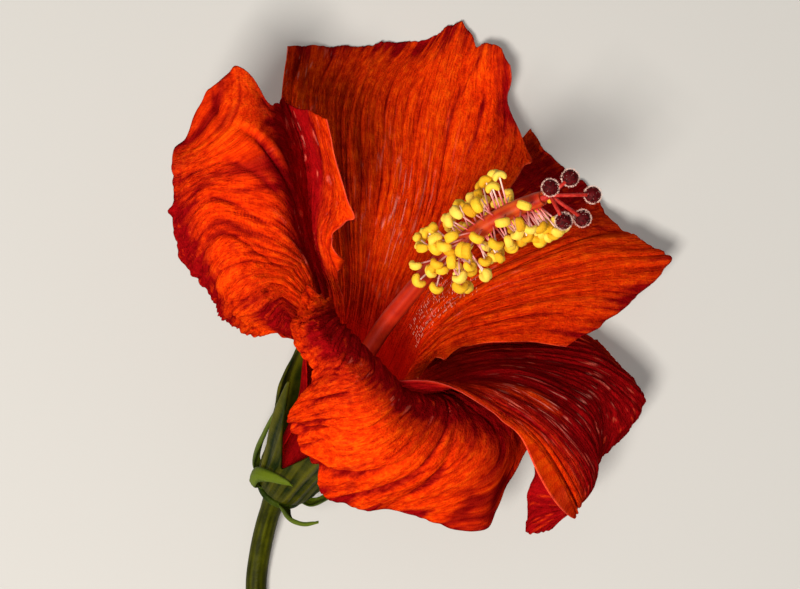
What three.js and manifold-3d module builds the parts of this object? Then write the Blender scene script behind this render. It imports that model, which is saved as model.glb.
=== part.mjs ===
// A hibiscus flower, cut with a short stalk and laid down on its side.
// Millimetres, +Z up. The surface it lies on is z = 0, and the origin is under the middle of its box.
// The flower's own axis runs from the receptacle up into the open throat, and the five petals, the
// calyx, the bracts, the stamens and the pistil are all set out round that axis.

import * as THREE from 'three';
import { mergeVertices } from 'three/addons/utils/BufferGeometryUtils.js';
import Module from 'manifold-3d';

const wasm = await Module();
wasm.setup();

// ---------------------------------------------------------------- driving dimensions

const BOX_MIDDLE = [4.1, -11.7, 0];         // the middle of the flower's footprint among its own points
const RECEPTACLE = vec([-19.4, -31.5, 11]); // where stalk, calyx, petals and stamens meet
const AXIS = vec([0.41, 0.62, 0.67]).normalize();
const NEAR_SIDE = vec([-0.37, -0.56, 0.74]); // the side of the flower that faces up

const PETAL_THICKNESS = 0.6;
const PETAL_STEPS_IN_TUBE = 6;
const PETAL_STEPS_BEYOND = 14;
// The petals' claws stand side by side in a tube, each with one edge tucked behind its neighbour:
// height along the axis, radius, half the angle a claw takes, how far its edges lie off the radius.
const TUBE_RINGS = [
  { height: 1.3, radius: 3.3, halfAngle: 28, lap: 0.4 },
  { height: 11, radius: 4.2, halfAngle: 44, lap: 0.7 },
  { height: 21, radius: 5.6, halfAngle: 52, lap: 1.05 },
  { height: 29, radius: 8, halfAngle: 55, lap: 1.45 },
];

// Each blade beyond the tube: guide rows from the throat out to the margin. A row runs from the
// edge tucked behind the neighbour to the edge that lies over the other neighbour.
// azimuth is the claw's place round the tube; waves are the margin's ripples, in number and height,
// and frill is the same for the overlapping edge.
const PETALS = [
  {
    name: 'petal_left', azimuth: 178, across: 13,
    waves: { count: 3, height: 0.7, phase: 0.1 }, frill: { count: 3, height: 0.8, phase: 0.55 },
    rows: [
      [[-15.5, -8, 43], [-15, -6, 45], [-14.5, -3.5, 46], [-14.5, -1.5, 46], [-13.5, 1, 43],
        [-11.5, 0.5, 38], [-9, -0.5, 36]],
      [[-18, -6.5, 47], [-20, -3, 51], [-21, 1.5, 53], [-20.5, 5.5, 54], [-16, 8.5, 52],
        [-14, 9, 40], [-10.5, 6.5, 42]],
      [[-20, -6, 46], [-26, -1.5, 50], [-28.5, 7, 53], [-28.5, 16.5, 55], [-20, 22.5, 55],
        [-14.5, 20.5, 41], [-8, 14, 49]],
      [[-21.5, -6, 42], [-29, -2.5, 42], [-34.5, 7.5, 42], [-35.5, 21.5, 44], [-25, 35, 48],
        [-17, 29.5, 42], [-11, 27, 50]],
    ],
  },
  {
    name: 'petal_upper', azimuth: 250, across: 12,
    waves: { count: 3, height: 0.5, phase: 0.2 }, frill: { count: 3, height: 0.5, phase: 0 },
    rows: [
      [[-13, -1, 28], [-10.5, 0.5, 26], [-7.5, 1.5, 24], [-5, 1.5, 23], [-2, 1, 23.5],
        [0.5, -0.5, 25], [3, -2, 27]],
      [[-16.5, 13, 20], [-12.5, 15.5, 17], [-8, 17, 15], [-2.5, 17.5, 14], [2.5, 16, 14.5],
        [7, 13.5, 16], [11, 9.5, 20]],
      [[-19.5, 29, 13], [-13.5, 31.5, 9.5], [-8, 33, 7], [-1.5, 33.5, 6], [5, 33, 6],
        [11.5, 30.5, 7.5], [21, 22.5, 10]],
      [[-19, 41.5, 6], [-12, 42, 1.5], [-3.5, 42, 0.3], [4, 43.5, 0.3], [9.5, 45.5, 0.6],
        [14, 42.5, 4], [19, 38, 8]],
    ],
  },
  {
    name: 'petal_right', azimuth: 322, across: 12,
    waves: { count: 3, height: 0.4, phase: 0.5 }, frill: { count: 4, height: 0.8, phase: 0.3 },
    rows: [
      [[-0.5, -1, 22], [2, -1.5, 23.5], [3.5, -3, 25.5], [4.5, -5, 28.5], [4.5, -7, 31.5],
        [3.5, -9.5, 34], [1.5, -13.5, 37.5]],
      [[6.5, 10, 12], [10, 8, 15], [12, 5.5, 20], [13.5, 2.5, 24.5], [13, -1, 27],
        [11, -4.5, 29.5], [8.5, -9, 32]],
      [[17, 22, 4.5], [21.5, 17.5, 7], [25, 13, 11.5], [28.5, 8.5, 17.5], [29.5, 3.5, 20.5],
        [25.5, -1.5, 23.5], [17.5, -7.5, 27]],
      [[22, 28, 0.7], [27.5, 21.5, 0.1], [33, 16.5, 2.6], [39, 9.5, 10.5], [44.5, 5.5, 12],
        [37, -2, 16], [27, -8.5, 21]],
    ],
  },
  {
    name: 'petal_lower', azimuth: 34, across: 12,
    waves: { count: 3, height: 0.5, phase: 0.2 }, frill: { count: 3, height: 0.6, phase: 0.2 },
    rows: [
      [[4, -10, 26], [5.5, -12, 32.5], [5, -14.2, 39.6], [2.6, -14.3, 44.8], [-0.5, -12.4, 49.3]],
      [[13, -6, 17], [17.5, -9.5, 26], [18, -12.5, 36], [15, -15, 45], [10.5, -16, 51]],
      [[26.5, -5, 12], [31, -11, 20], [29.5, -17, 30], [25.5, -21.5, 38], [20.5, -23, 42]],
      [[32, -7.5, 9], [39.5, -16.5, 17], [33, -23.5, 22], [31, -31, 26], [28, -35.5, 30]],
      [[32.5, -8, 5], [39, -17.5, 11], [32, -29.5, 15], [22.5, -38.5, 17], [23, -25.5, 27]],
    ],
  },
  {
    name: 'petal_front', azimuth: 100, across: 15,
    waves: { count: 5, height: 0.6, phase: 0.3 }, frill: { count: 1, height: 0.3, phase: 0 },
    rows: [
      [[7, -14.7, 36], [3.4, -16.3, 42.5], [-0.5, -14.7, 48], [-4, -10.5, 52], [-6.5, -7.5, 53],
        [-8.5, -5.5, 53], [-10, -3.5, 51], [-11, -1.5, 47]],
      [[13, -16.5, 38], [9, -18.5, 45], [3, -19, 52], [-2.5, -16, 58], [-6.5, -12.5, 61],
        [-9.5, -8, 61], [-12, -4, 58], [-11.5, -1, 52]],
      [[18.5, -19.5, 34], [14.5, -26, 42], [3, -28, 48], [-6, -24, 53], [-10.5, -16.5, 57],
        [-12, -10, 59], [-14.5, -4.5, 58], [-12.5, 0, 53]],
      [[21, -23.5, 28], [14.5, -37.5, 24], [1.5, -35.5, 26], [-11.5, -31.5, 30], [-17, -20.5, 44],
        [-14, -12, 55], [-16.5, -4, 52], [-13.5, 1, 50]],
    ],
  },
];

// A margin that reaches below the surface is cut off by a block of this reach and depth under it.
const GROUND_REACH = 150;
const GROUND_DEPTH = 20;

const CALYX_WALL = 0.6;
const CALYX_RIM_HEIGHT = 8.5;               // the cup's height, where its five lobes part
const CALYX_SIDES_PER_LOBE = 6;
const CALYX_LEVELS = 7;
const LOBE_TAPER = 1.25;                    // above 1, a lobe's edges are hollow and its tip is sharp
const LEVEL_SPACING = 1.15;                 // above 1, the levels stand closer together low down
// a lobe spreads out from one height of the wall to another
const SPREAD_FROM = 2;
const SPREAD_OVER = 16;
const CALYX_CUP = [[0, 3.9], [0.9, 4.9], [3, 5.4], [6, 5.7], [9, 6], [12, 6.5], [16, 7.2],
  [20, 7.9], [24, 8.6], [28, 9.2]];         // [height, outer radius], lobes included
// the lobes stand between the petals: azimuth, height of the tip, how far the lobe spreads out
const SEPALS = [
  { azimuth: 142, tip: 27, spread: 1.6 },
  { azimuth: 214, tip: 25, spread: 4 },
  { azimuth: 286, tip: 23, spread: 1 },
  { azimuth: 358, tip: 22, spread: 0.6 },
  { azimuth: 70, tip: 22, spread: 0.8 },
];

// The bracts of the outer whorl: the middle line of each from root to tip, as
// [azimuth, height along the axis, distance from the axis].
const BRACT_WIDTH = 2.6;
const BRACT_THICKNESS = 0.7;
const BRACT_STEPS = 6;
const BRACT_TIP_WIDTH = 0.12;               // of the full width
const BRACT_FULLEST = 0.33;                 // of its length, from the root
const BRACT_TIP_THINNING = 0.35;
const BRACTS = [
  [[180, -0.8, 3.6], [179, 0.6, 5.9], [177, 4, 6.9], [175, 8, 7.3], [173, 12, 7.6], [172, 15.5, 7.7]],
  [[138, -0.8, 3.6], [140, 0.4, 6], [132, 3.6, 7.1], [116, 6, 7.2], [96, 7.4, 7], [78, 8, 6.9]],
  [[62, -0.8, 3.6], [60, -0.4, 5.8], [54, 0.6, 8], [48, 2.6, 10], [44, 5.4, 11.4]],
  [[4, -0.8, 3.6], [2, 0.2, 6], [0, 3, 7.4], [-2, 6.5, 8.6], [-3, 10, 9.8]],
  [[300, -0.8, 3.6], [300, 0.2, 6], [300, 3, 7.5], [299, 6.5, 8.8], [298, 10, 10.2]],
  [[236, -0.8, 3.6], [236, 0.2, 6], [236, 3, 7.6], [237, 6.5, 9], [238, 10, 10.6]],
];
const BRACT_COLLAR = { inner: 3.2, outer: 4.2, bottom: -1.5, top: -0.4, sides: 16 };

const STALK_RADIUS = 1.75;
const STALK_LINE = [[-20.8, -33.7, 8.6], [-22.3, -38, 5.9], [-23.6, -43.5, 3.6], [-24.3, -49.5, 2.3],
  [-23.6, -57, STALK_RADIUS], [-21.6, -63, STALK_RADIUS], [-19.3, -68, STALK_RADIUS]];
const STALK_STEPS = 12;
const STALK_SIDES = 10;
// the receptacle: where it starts and ends along the flower's axis, and the radii that it widens
// through
const FLARE_HEIGHTS = [-1.8, -0.35];
const FLARE_RADII = [2.1, 2.6, 2.9];

// The staminal column leaves the receptacle along the axis and leans over beyond the throat: the
// heights of its points in the tube, and its points from there on.
const COLUMN_HEIGHTS = [1.3, 4, 9, 16, 24];
const COLUMN_LINE = [[-6, -10.5, 32.5], [-2.5, -5, 38], [1.5, 0, 43], [5, 4, 47], [9, 7.5, 50.5],
  [13, 10.5, 54], [17.5, 13, 57], [21.5, 14.5, 60]];
const COLUMN_OUTER = [2.35, 2.25, 1.75, 1.5, 1.5, 1.45, 1.45, 1.4, 1.4, 1.35, 1.3, 1.2];
const COLUMN_BORE = [1.75, 1.65, 1.1, 0.92, 0.92, 0.92, 0.92, 0.92, 0.92, 0.9, 0.88, 0.85];
const COLUMN_SIDES = 8;
const COLUMN_STEPS = 16;

const STAMEN_COUNT = 42;
const STAMEN_SPAN = [0.66, 0.985];          // where along the column they stand, as parts of its length
const GOLDEN_ANGLE = Math.PI * (3 - Math.sqrt(5));
const STAMEN_CROWDING = 0.3;                // how far they draw together at the column's two sides
const STAMEN_LEAN = [-0.35, 0.4];           // from leaning back at the first one to forward at the last
const STAMEN_SCATTER = { angle: 0.5, lean: 0.3 };
const FILAMENT_RADIUS = 0.2;
const FILAMENT_SIDES = 3;
const FILAMENT_ROOT = 1.15;                 // inside the column's wall
const FILAMENT_LENGTH = [3.1, 4.9];
const ANTHER_SIZE = [1.2, 0.72, 0.62];      // half length, half width and half depth of a kidney
const ANTHER_BEND = 0.42;
const SEED = 20;

const OVARY_RADII = [1.1, 1.2, 0.65];       // the style's first sections, in the column's foot
const STYLE_RADIUS = 0.5;
const STYLE_PAST_COLUMN = 1.2;
const STIGMA_RADIUS = 1.35;
const STIGMAS = [[22.5, 16, 62.5], [25.5, 17.5, 62], [29, 15, 60], [24.5, 11, 62], [27.5, 11.5, 59]];
const BRANCH_RADIUS = 0.34;
const BRANCH_RISE = 1.1;

const COLOURS = {
  petal: 0xd6300a, calyx: 0x3f6a1e, bract: 0x5c7a2c, stalk: 0x6f7420,
  stamens: 0xe6c33a, pistil: 0x8e1220,
};

// ---------------------------------------------------------------- geometry helpers

function vec(list) {
  return new THREE.Vector3(...list);
}

// A point on the smooth curve through the points, at t counted in points from 0.
// Catmull-Rom, with the line carried straight on past both ends.
function through(points, t) {
  const last = points.length - 1;
  const i = Math.min(Math.floor(t), last - 1);
  const f = t - i;
  const a = points[i];
  const b = points[i + 1];
  const before = i > 0 ? points[i - 1] : a.clone().multiplyScalar(2).sub(b);
  const after = i + 2 <= last ? points[i + 2] : b.clone().multiplyScalar(2).sub(a);
  const weights = [
    -f + 2 * f * f - f * f * f,
    2 - 5 * f * f + 3 * f * f * f,
    f + 4 * f * f - 3 * f * f * f,
    -f * f + f * f * f,
  ];
  const sum = new THREE.Vector3();
  [before, a, b, after].forEach((p, k) => sum.addScaledVector(p, weights[k] / 2));
  return sum;
}

// The same through a list of plain numbers.
function numberThrough(values, t) {
  return through(values.map((v) => new THREE.Vector3(v, 0, 0)), t).x;
}

function smooth(x) {
  const s = Math.min(Math.max(x, 0), 1);
  return s * s * (3 - 2 * s);
}

// The flower's own frame: round the axis from SIDE towards UPWARD, and along it from the receptacle.
const SIDE = new THREE.Vector3().crossVectors(AXIS, NEAR_SIDE).normalize();
const UPWARD = new THREE.Vector3().crossVectors(SIDE, AXIS).normalize();

function roundAxis(azimuth, height, radius) {
  const a = THREE.MathUtils.degToRad(azimuth);
  return RECEPTACLE.clone().addScaledVector(AXIS, height)
    .addScaledVector(SIDE, radius * Math.cos(a)).addScaledVector(UPWARD, radius * Math.sin(a));
}

// A closed skin of points and triangles, all turned to face outwards: one wound the other way round
// encloses a negative volume, and is reversed.
function geometryFrom(points, triangles) {
  let volume = 0;
  for (let i = 0; i < triangles.length; i += 3) {
    const [a, b, c] = [points[triangles[i]], points[triangles[i + 1]], points[triangles[i + 2]]];
    volume += a.dot(b.clone().cross(c));
  }
  if (volume < 0) triangles.reverse();
  const geometry = new THREE.BufferGeometry();
  geometry.setAttribute('position', new THREE.Float32BufferAttribute(points.flatMap((p) => p.toArray()), 3));
  geometry.setIndex(triangles);
  return geometry;
}

// A thin blade: the middle surface's grid of points, thickened equally to both sides. Both faces
// are split along the same diagonals, so they never cross.
function blade(grid, thickness) {
  const rows = grid.length;
  const columns = grid[0].length;
  const clampRow = (i) => Math.min(Math.max(i, 0), rows - 1);
  const clampColumn = (j) => Math.min(Math.max(j, 0), columns - 1);
  const points = [[], []];
  for (let i = 0; i < rows; i += 1) {
    for (let j = 0; j < columns; j += 1) {
      const along = grid[clampRow(i + 1)][j].clone().sub(grid[clampRow(i - 1)][j]);
      const across = grid[i][clampColumn(j + 1)].clone().sub(grid[i][clampColumn(j - 1)]);
      const normal = along.cross(across).normalize();
      points[0].push(grid[i][j].clone().addScaledVector(normal, thickness / 2));
      points[1].push(grid[i][j].clone().addScaledVector(normal, -thickness / 2));
    }
  }
  const back = rows * columns;
  const at = (i, j) => i * columns + j;
  const triangles = [];
  for (let i = 0; i + 1 < rows; i += 1) {
    for (let j = 0; j + 1 < columns; j += 1) {
      const [a, b, c, d] = [at(i, j), at(i + 1, j), at(i + 1, j + 1), at(i, j + 1)];
      triangles.push(a, b, c, a, c, d);
      triangles.push(back + a, back + c, back + b, back + a, back + d, back + c);
    }
  }
  const rim = [];
  for (let i = 0; i + 1 < rows; i += 1) rim.push(at(i, 0));
  for (let j = 0; j + 1 < columns; j += 1) rim.push(at(rows - 1, j));
  for (let i = rows - 1; i > 0; i -= 1) rim.push(at(i, columns - 1));
  for (let j = columns - 1; j > 0; j -= 1) rim.push(at(0, j));
  rim.forEach((a, k) => {
    const b = rim[(k + 1) % rim.length];
    triangles.push(a, back + a, back + b, a, back + b, b);
  });
  return geometryFrom([...points[0], ...points[1]], triangles);
}

// Rings of points joined one to the next into a closed skin, each end closed by its own middle.
function closedRings(rings) {
  const sides = rings[0].length;
  const points = rings.flat();
  const triangles = [];
  for (let i = 0; i + 1 < rings.length; i += 1) {
    for (let j = 0; j < sides; j += 1) {
      const k = (j + 1) % sides;
      const [a, b, c, d] = [i * sides + j, i * sides + k, (i + 1) * sides + k, (i + 1) * sides + j];
      triangles.push(a, b, c, a, c, d);
    }
  }
  for (const [ring, outward] of [[0, false], [rings.length - 1, true]]) {
    const middle = points.length;
    const sum = new THREE.Vector3();
    rings[ring].forEach((p) => sum.add(p));
    points.push(sum.divideScalar(sides));
    for (let j = 0; j < sides; j += 1) {
      const a = ring * sides + j;
      const b = ring * sides + ((j + 1) % sides);
      triangles.push(...(outward ? [a, b, middle] : [b, a, middle]));
    }
  }
  return geometryFrom(points, triangles);
}

// Round sections set square to a line of points, turned with it and never twisted about it.
function sectionsAlong(line, radii, sides) {
  const tangents = line.map((p, i) => line[Math.min(i + 1, line.length - 1)].clone()
    .sub(line[Math.max(i - 1, 0)]).normalize());
  const up = Math.abs(tangents[0].z) < 0.9 ? new THREE.Vector3(0, 0, 1) : new THREE.Vector3(0, 1, 0);
  let first = up.clone().addScaledVector(tangents[0], -up.dot(tangents[0])).normalize();
  return line.map((p, i) => {
    first = first.clone().addScaledVector(tangents[i], -first.dot(tangents[i])).normalize();
    const second = new THREE.Vector3().crossVectors(tangents[i], first);
    return Array.from({ length: sides }, (_, j) => {
      const a = (2 * Math.PI * j) / sides;
      return p.clone().addScaledVector(first, radii[i] * Math.cos(a))
        .addScaledVector(second, radii[i] * Math.sin(a));
    });
  });
}

function tube(line, radii, sides) {
  return closedRings(sectionsAlong(line, radii, sides));
}

// Evenly numbered points along the smooth curve through a few.
function finer(points, steps) {
  return Array.from({ length: steps + 1 }, (_, i) => through(points, ((points.length - 1) * i) / steps));
}

function solid(geometry) {
  const bare = geometry.clone();
  bare.deleteAttribute('normal');
  bare.deleteAttribute('uv');
  const merged = mergeVertices(bare, 1e-5);
  return new wasm.Manifold(new wasm.Mesh({
    numProp: 3,
    vertProperties: new Float32Array(merged.getAttribute('position').array),
    triVerts: new Uint32Array(merged.getIndex().array),
  }));
}

function geometryOf(manifold) {
  const mesh = manifold.getMesh();
  const geometry = new THREE.BufferGeometry();
  geometry.setAttribute('position', new THREE.Float32BufferAttribute(mesh.vertProperties, 3));
  geometry.setIndex([...mesh.triVerts]);
  return geometry;
}

function joined(geometries) {
  return geometryOf(geometries.map(solid).reduce((whole, piece) => whole.add(piece)));
}

// Seeded random numbers from 0 to 1, the same in every run.
function randomFrom(seed) {
  let state = seed;
  return () => {
    state = (state + 0x6d2b79f5) | 0;
    let t = Math.imul(state ^ (state >>> 15), 1 | state);
    t = (t + Math.imul(t ^ (t >>> 7), 61 | t)) ^ t;
    return ((t ^ (t >>> 14)) >>> 0) / 4294967296;
  };
}

// ---------------------------------------------------------------- petals

function petalNet(petal) {
  const columns = petal.rows[0].length;
  const claw = TUBE_RINGS.map(({ height, radius, halfAngle, lap }) => Array.from(
    { length: columns },
    (_, j) => {
      const t = (2 * j) / (columns - 1) - 1;
      return roundAxis(petal.azimuth + halfAngle * t, height, radius - lap * t);
    },
  ));
  return [...claw, ...petal.rows.map((row) => row.map(vec))];
}

// The middle surface of a petal: smooth along its veins and then across them, and rippled at the
// margin and along the overlapping edge.
function petalGrid(petal) {
  const net = petalNet(petal);
  const columns = net[0].length;
  const tubeEnd = TUBE_RINGS.length - 1;
  const bladeRows = net.length - 1 - tubeEnd;
  const steps = [];
  for (let i = 0; i < PETAL_STEPS_IN_TUBE; i += 1) steps.push((tubeEnd * i) / PETAL_STEPS_IN_TUBE);
  for (let i = 0; i <= PETAL_STEPS_BEYOND; i += 1) {
    steps.push(tubeEnd + (bladeRows * i) / PETAL_STEPS_BEYOND);
  }
  const pointAt = (u, v) => {
    const across = Array.from({ length: columns }, (_, j) => through(net.map((row) => row[j]), u));
    return through(across, v * (columns - 1));
  };
  const nudge = 0.01;
  return steps.map((u) => Array.from({ length: petal.across + 1 }, (_, j) => {
    const v = j / petal.across;
    const here = pointAt(u, v);
    const beyond = Math.max(0, (u - tubeEnd) / bladeRows);
    const along = pointAt(Math.max(u - nudge, 0), v).sub(here);
    const aside = pointAt(u, v > 0.5 ? v - nudge : v + nudge).sub(here).multiplyScalar(v > 0.5 ? 1 : -1);
    const normal = along.cross(aside).normalize();
    const { waves, frill } = petal;
    const margin = waves.height * beyond ** 4 * Math.sin(2 * Math.PI * (waves.count * v + waves.phase));
    const edge = frill.height * v ** 8 * smooth(beyond * 4) * (1 - beyond ** 4)
      * Math.sin(2 * Math.PI * (frill.count * beyond + frill.phase));
    return here.addScaledVector(normal, margin + edge);
  }));
}

// A petal whose margin reaches the surface is worn flat there, so that it rests on small flat feet.
function petalGeometry(petal) {
  const geometry = blade(petalGrid(petal), PETAL_THICKNESS);
  geometry.computeBoundingBox();
  if (geometry.boundingBox.min.z > 0) return geometry;
  const ground = new THREE.BoxGeometry(2 * GROUND_REACH, 2 * GROUND_REACH, GROUND_DEPTH);
  ground.translate(0, 0, -GROUND_DEPTH / 2);
  return geometryOf(solid(geometry).subtract(solid(ground)));
}

// ---------------------------------------------------------------- calyx and bracts

// A smooth cup whose wall runs up into five pointed lobes. The wall's height at an azimuth is the
// lobe's there, and the outer radius follows CALYX_CUP, pushed out by the lobe's own spread.
function calyxGeometry() {
  const around = CALYX_SIDES_PER_LOBE * SEPALS.length;
  const heights = CALYX_CUP.map(([height]) => height);
  const radii = CALYX_CUP.map(([, radius]) => radius);
  const radiusAt = (height) => {
    let i = 0;
    while (i < heights.length - 2 && heights[i + 1] < height) i += 1;
    return numberThrough(radii, i + (height - heights[i]) / (heights[i + 1] - heights[i]));
  };
  const rings = (inset) => {
    const result = [];
    for (let k = 0; k <= CALYX_LEVELS; k += 1) {
      result.push(Array.from({ length: around }, (_, j) => {
        const lobe = SEPALS[Math.floor(j / CALYX_SIDES_PER_LOBE)];
        const aside = (j % CALYX_SIDES_PER_LOBE) / CALYX_SIDES_PER_LOBE * 2 - 1;
        const share = 1 - Math.abs(aside);
        const top = CALYX_RIM_HEIGHT + (lobe.tip - CALYX_RIM_HEIGHT) * share ** LOBE_TAPER;
        const bottom = inset ? CALYX_WALL : 0;
        const height = bottom + (top - bottom) * (k / CALYX_LEVELS) ** LEVEL_SPACING;
        const out = lobe.spread * Math.sqrt(share) * smooth((height - SPREAD_FROM) / SPREAD_OVER);
        const half = 180 / SEPALS.length;
        return roundAxis(lobe.azimuth + half * aside, height, radiusAt(height) + out - inset);
      }));
    }
    return result;
  };
  const outer = rings(0);
  const inner = rings(CALYX_WALL).reverse();
  return closedRings([...outer, ...inner]);
}

// A narrow pointed bract: a flat section carried along its middle line, its width across the
// direction away from the axis, fullest a third of the way up.
function bractGeometry(middle) {
  const stations = finer(middle.map(([a, h, r]) => roundAxis(a, h, r)), BRACT_STEPS);
  const rings = stations.map((p, i) => {
    const t = i / (stations.length - 1);
    const tangent = stations[Math.min(i + 1, stations.length - 1)].clone()
      .sub(stations[Math.max(i - 1, 0)]).normalize();
    const axisPoint = RECEPTACLE.clone().addScaledVector(AXIS, p.clone().sub(RECEPTACLE).dot(AXIS));
    const outward = p.clone().sub(axisPoint).normalize();
    const wide = new THREE.Vector3().crossVectors(tangent, outward).normalize();
    const thick = new THREE.Vector3().crossVectors(wide, tangent).normalize();
    const phase = t < BRACT_FULLEST ? 0.5 * (1 + t / BRACT_FULLEST) : (1 - t) / (1 - BRACT_FULLEST);
    const fullness = Math.sin((Math.PI / 2) * phase) ** 0.7;
    const halfWidth = (BRACT_WIDTH / 2) * (BRACT_TIP_WIDTH + (1 - BRACT_TIP_WIDTH) * fullness);
    const halfThickness = (BRACT_THICKNESS / 2) * (1 - BRACT_TIP_THINNING * t);
    const corners = [[1, 0], [0.5, 1], [-0.5, 1], [-1, 0], [-0.5, -1], [0.5, -1]];
    return corners.map(([x, y]) => p.clone().addScaledVector(wide, x * halfWidth)
      .addScaledVector(thick, y * halfThickness));
  });
  return closedRings(rings);
}

function ringAt(height, radius, sides) {
  return Array.from({ length: sides }, (_, j) => roundAxis((360 * j) / sides, height, radius));
}

function epicalyxGeometry() {
  const { inner, outer, bottom, top, sides } = BRACT_COLLAR;
  const collar = solid(closedRings([ringAt(bottom, outer, sides), ringAt(top, outer, sides)]))
    .subtract(solid(closedRings([ringAt(bottom - 1, inner, sides), ringAt(top + 1, inner, sides)])));
  return geometryOf(BRACTS.map((middle) => solid(bractGeometry(middle)))
    .reduce((whole, piece) => whole.add(piece), collar));
}

// ---------------------------------------------------------------- stalk

// The stalk lies along the surface, lifts towards the flower and widens into the receptacle.
function stalkGeometry() {
  const lying = finer([...STALK_LINE].reverse().map(vec), STALK_STEPS);
  lying.forEach((p) => p.setZ(Math.max(p.z, STALK_RADIUS)));
  const line = [...lying, ...FLARE_HEIGHTS.map((height) => roundAxis(0, height, 0))];
  const plain = line.length - FLARE_RADII.length;
  const radii = line.map((_, i) => (i < plain ? STALK_RADIUS : FLARE_RADII[i - plain]));
  return tube(line, radii, STALK_SIDES);
}

// ---------------------------------------------------------------- stamens and pistil

function columnPoints() {
  const inTube = COLUMN_HEIGHTS.map((height) => roundAxis(0, height, 0));
  return [...inTube, ...COLUMN_LINE.map(vec)];
}

function columnAt(part) {
  const points = columnPoints();
  return through(points, part * (points.length - 1));
}

// The hollow column that the filaments stand on, drawn as one skin: up the outside, down the bore.
function columnGeometry() {
  const line = finer(columnPoints(), COLUMN_STEPS);
  const along = (values, i) => numberThrough(values, ((values.length - 1) * i) / COLUMN_STEPS);
  const outer = sectionsAlong(line, line.map((_, i) => along(COLUMN_OUTER, i)), COLUMN_SIDES);
  const bore = sectionsAlong(line, line.map((_, i) => along(COLUMN_BORE, i)), COLUMN_SIDES);
  const points = [...outer.flat(), ...bore.flat()];
  const rows = outer.length;
  const inside = rows * COLUMN_SIDES;
  const triangles = [];
  for (let j = 0; j < COLUMN_SIDES; j += 1) {
    const k = (j + 1) % COLUMN_SIDES;
    for (let i = 0; i + 1 < rows; i += 1) {
      const [a, b, c, d] = [[i, j], [i, k], [i + 1, k], [i + 1, j]].map(([r, s]) => r * COLUMN_SIDES + s);
      triangles.push(a, b, c, a, c, d);
      triangles.push(inside + a, inside + c, inside + b, inside + a, inside + d, inside + c);
    }
    const top = (rows - 1) * COLUMN_SIDES;
    triangles.push(j, inside + j, inside + k, j, inside + k, k);
    triangles.push(top + j, top + k, inside + top + k, top + j, inside + top + k, inside + top + j);
  }
  return geometryFrom(points, triangles);
}

// A kidney: an egg of three half sizes, bent so that its two ends turn back round the filament.
function antherGeometry(at, facing, turn) {
  const geometry = new THREE.SphereGeometry(1, 5, 4);
  geometry.rotateZ(Math.PI / 2);
  geometry.scale(...ANTHER_SIZE);
  const position = geometry.getAttribute('position');
  for (let i = 0; i < position.count; i += 1) {
    position.setY(i, position.getY(i) - ANTHER_BEND * position.getX(i) ** 2);
  }
  geometry.rotateY(turn);
  geometry.applyQuaternion(new THREE.Quaternion().setFromUnitVectors(new THREE.Vector3(0, 1, 0), facing));
  geometry.translate(...at.toArray());
  return geometry;
}

// The stamens stand round the column's outer part at the golden angle, thickest at its two sides.
function stamensGeometry() {
  const random = randomFrom(SEED);
  const pieces = [columnGeometry()];
  for (let i = 0; i < STAMEN_COUNT; i += 1) {
    const share = (i + random()) / STAMEN_COUNT;
    const part = STAMEN_SPAN[0] + (STAMEN_SPAN[1] - STAMEN_SPAN[0]) * share;
    const root = columnAt(part);
    const tangent = columnAt(Math.min(part + 0.01, 1)).sub(columnAt(part - 0.01)).normalize();
    const up = new THREE.Vector3(0, 0, 1).addScaledVector(tangent, -tangent.z).normalize();
    const side = new THREE.Vector3().crossVectors(tangent, up);
    const even = i * GOLDEN_ANGLE + STAMEN_SCATTER.angle * (random() - 0.5);
    const angle = even + STAMEN_CROWDING * Math.sin(2 * even);
    const radial = up.multiplyScalar(Math.cos(angle)).addScaledVector(side, Math.sin(angle));
    const lean = THREE.MathUtils.lerp(...STAMEN_LEAN, share) + STAMEN_SCATTER.lean * (random() - 0.5);
    const reach = FILAMENT_LENGTH[0] + (FILAMENT_LENGTH[1] - FILAMENT_LENGTH[0]) * random();
    const direction = radial.clone().addScaledVector(tangent, lean).normalize();
    const start = root.clone().addScaledVector(radial, FILAMENT_ROOT);
    const end = start.clone().addScaledVector(direction, reach);
    pieces.push(tube([start, end], [FILAMENT_RADIUS, FILAMENT_RADIUS], FILAMENT_SIDES));
    pieces.push(antherGeometry(end, direction, Math.PI * random()));
  }
  return joined(pieces);
}

// The pistil: the ovary inside the column's foot, the style in its bore, five branches with a
// round stigma each.
function pistilGeometry() {
  const line = finer(columnPoints(), COLUMN_STEPS);
  const radii = line.map((_, i) => OVARY_RADII[i] ?? STYLE_RADIUS);
  const tip = columnAt(1);
  const leaving = tip.clone().sub(columnAt(0.97)).normalize();
  const past = tip.clone().addScaledVector(leaving, STYLE_PAST_COLUMN);
  const pieces = [tube([...line, past], [...radii, STYLE_RADIUS], 6)];
  for (const stigma of STIGMAS.map(vec)) {
    const middle = past.clone().add(stigma).multiplyScalar(0.5).add(new THREE.Vector3(0, 0, BRANCH_RISE));
    const branch = finer([tip, past, middle, stigma], 4);
    pieces.push(tube(branch, branch.map(() => BRANCH_RADIUS), 4));
    const ball = new THREE.SphereGeometry(STIGMA_RADIUS, 7, 5);
    ball.scale(1, 1, 0.8);
    ball.translate(...stigma.toArray());
    pieces.push(ball);
  }
  return joined(pieces);
}

// ---------------------------------------------------------------- the flower

function part(name, geometry, colour, roughness) {
  const material = new THREE.MeshStandardMaterial({ color: colour, roughness, metalness: 0 });
  const mesh = new THREE.Mesh(geometry, material);
  mesh.name = name;
  return mesh;
}

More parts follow.
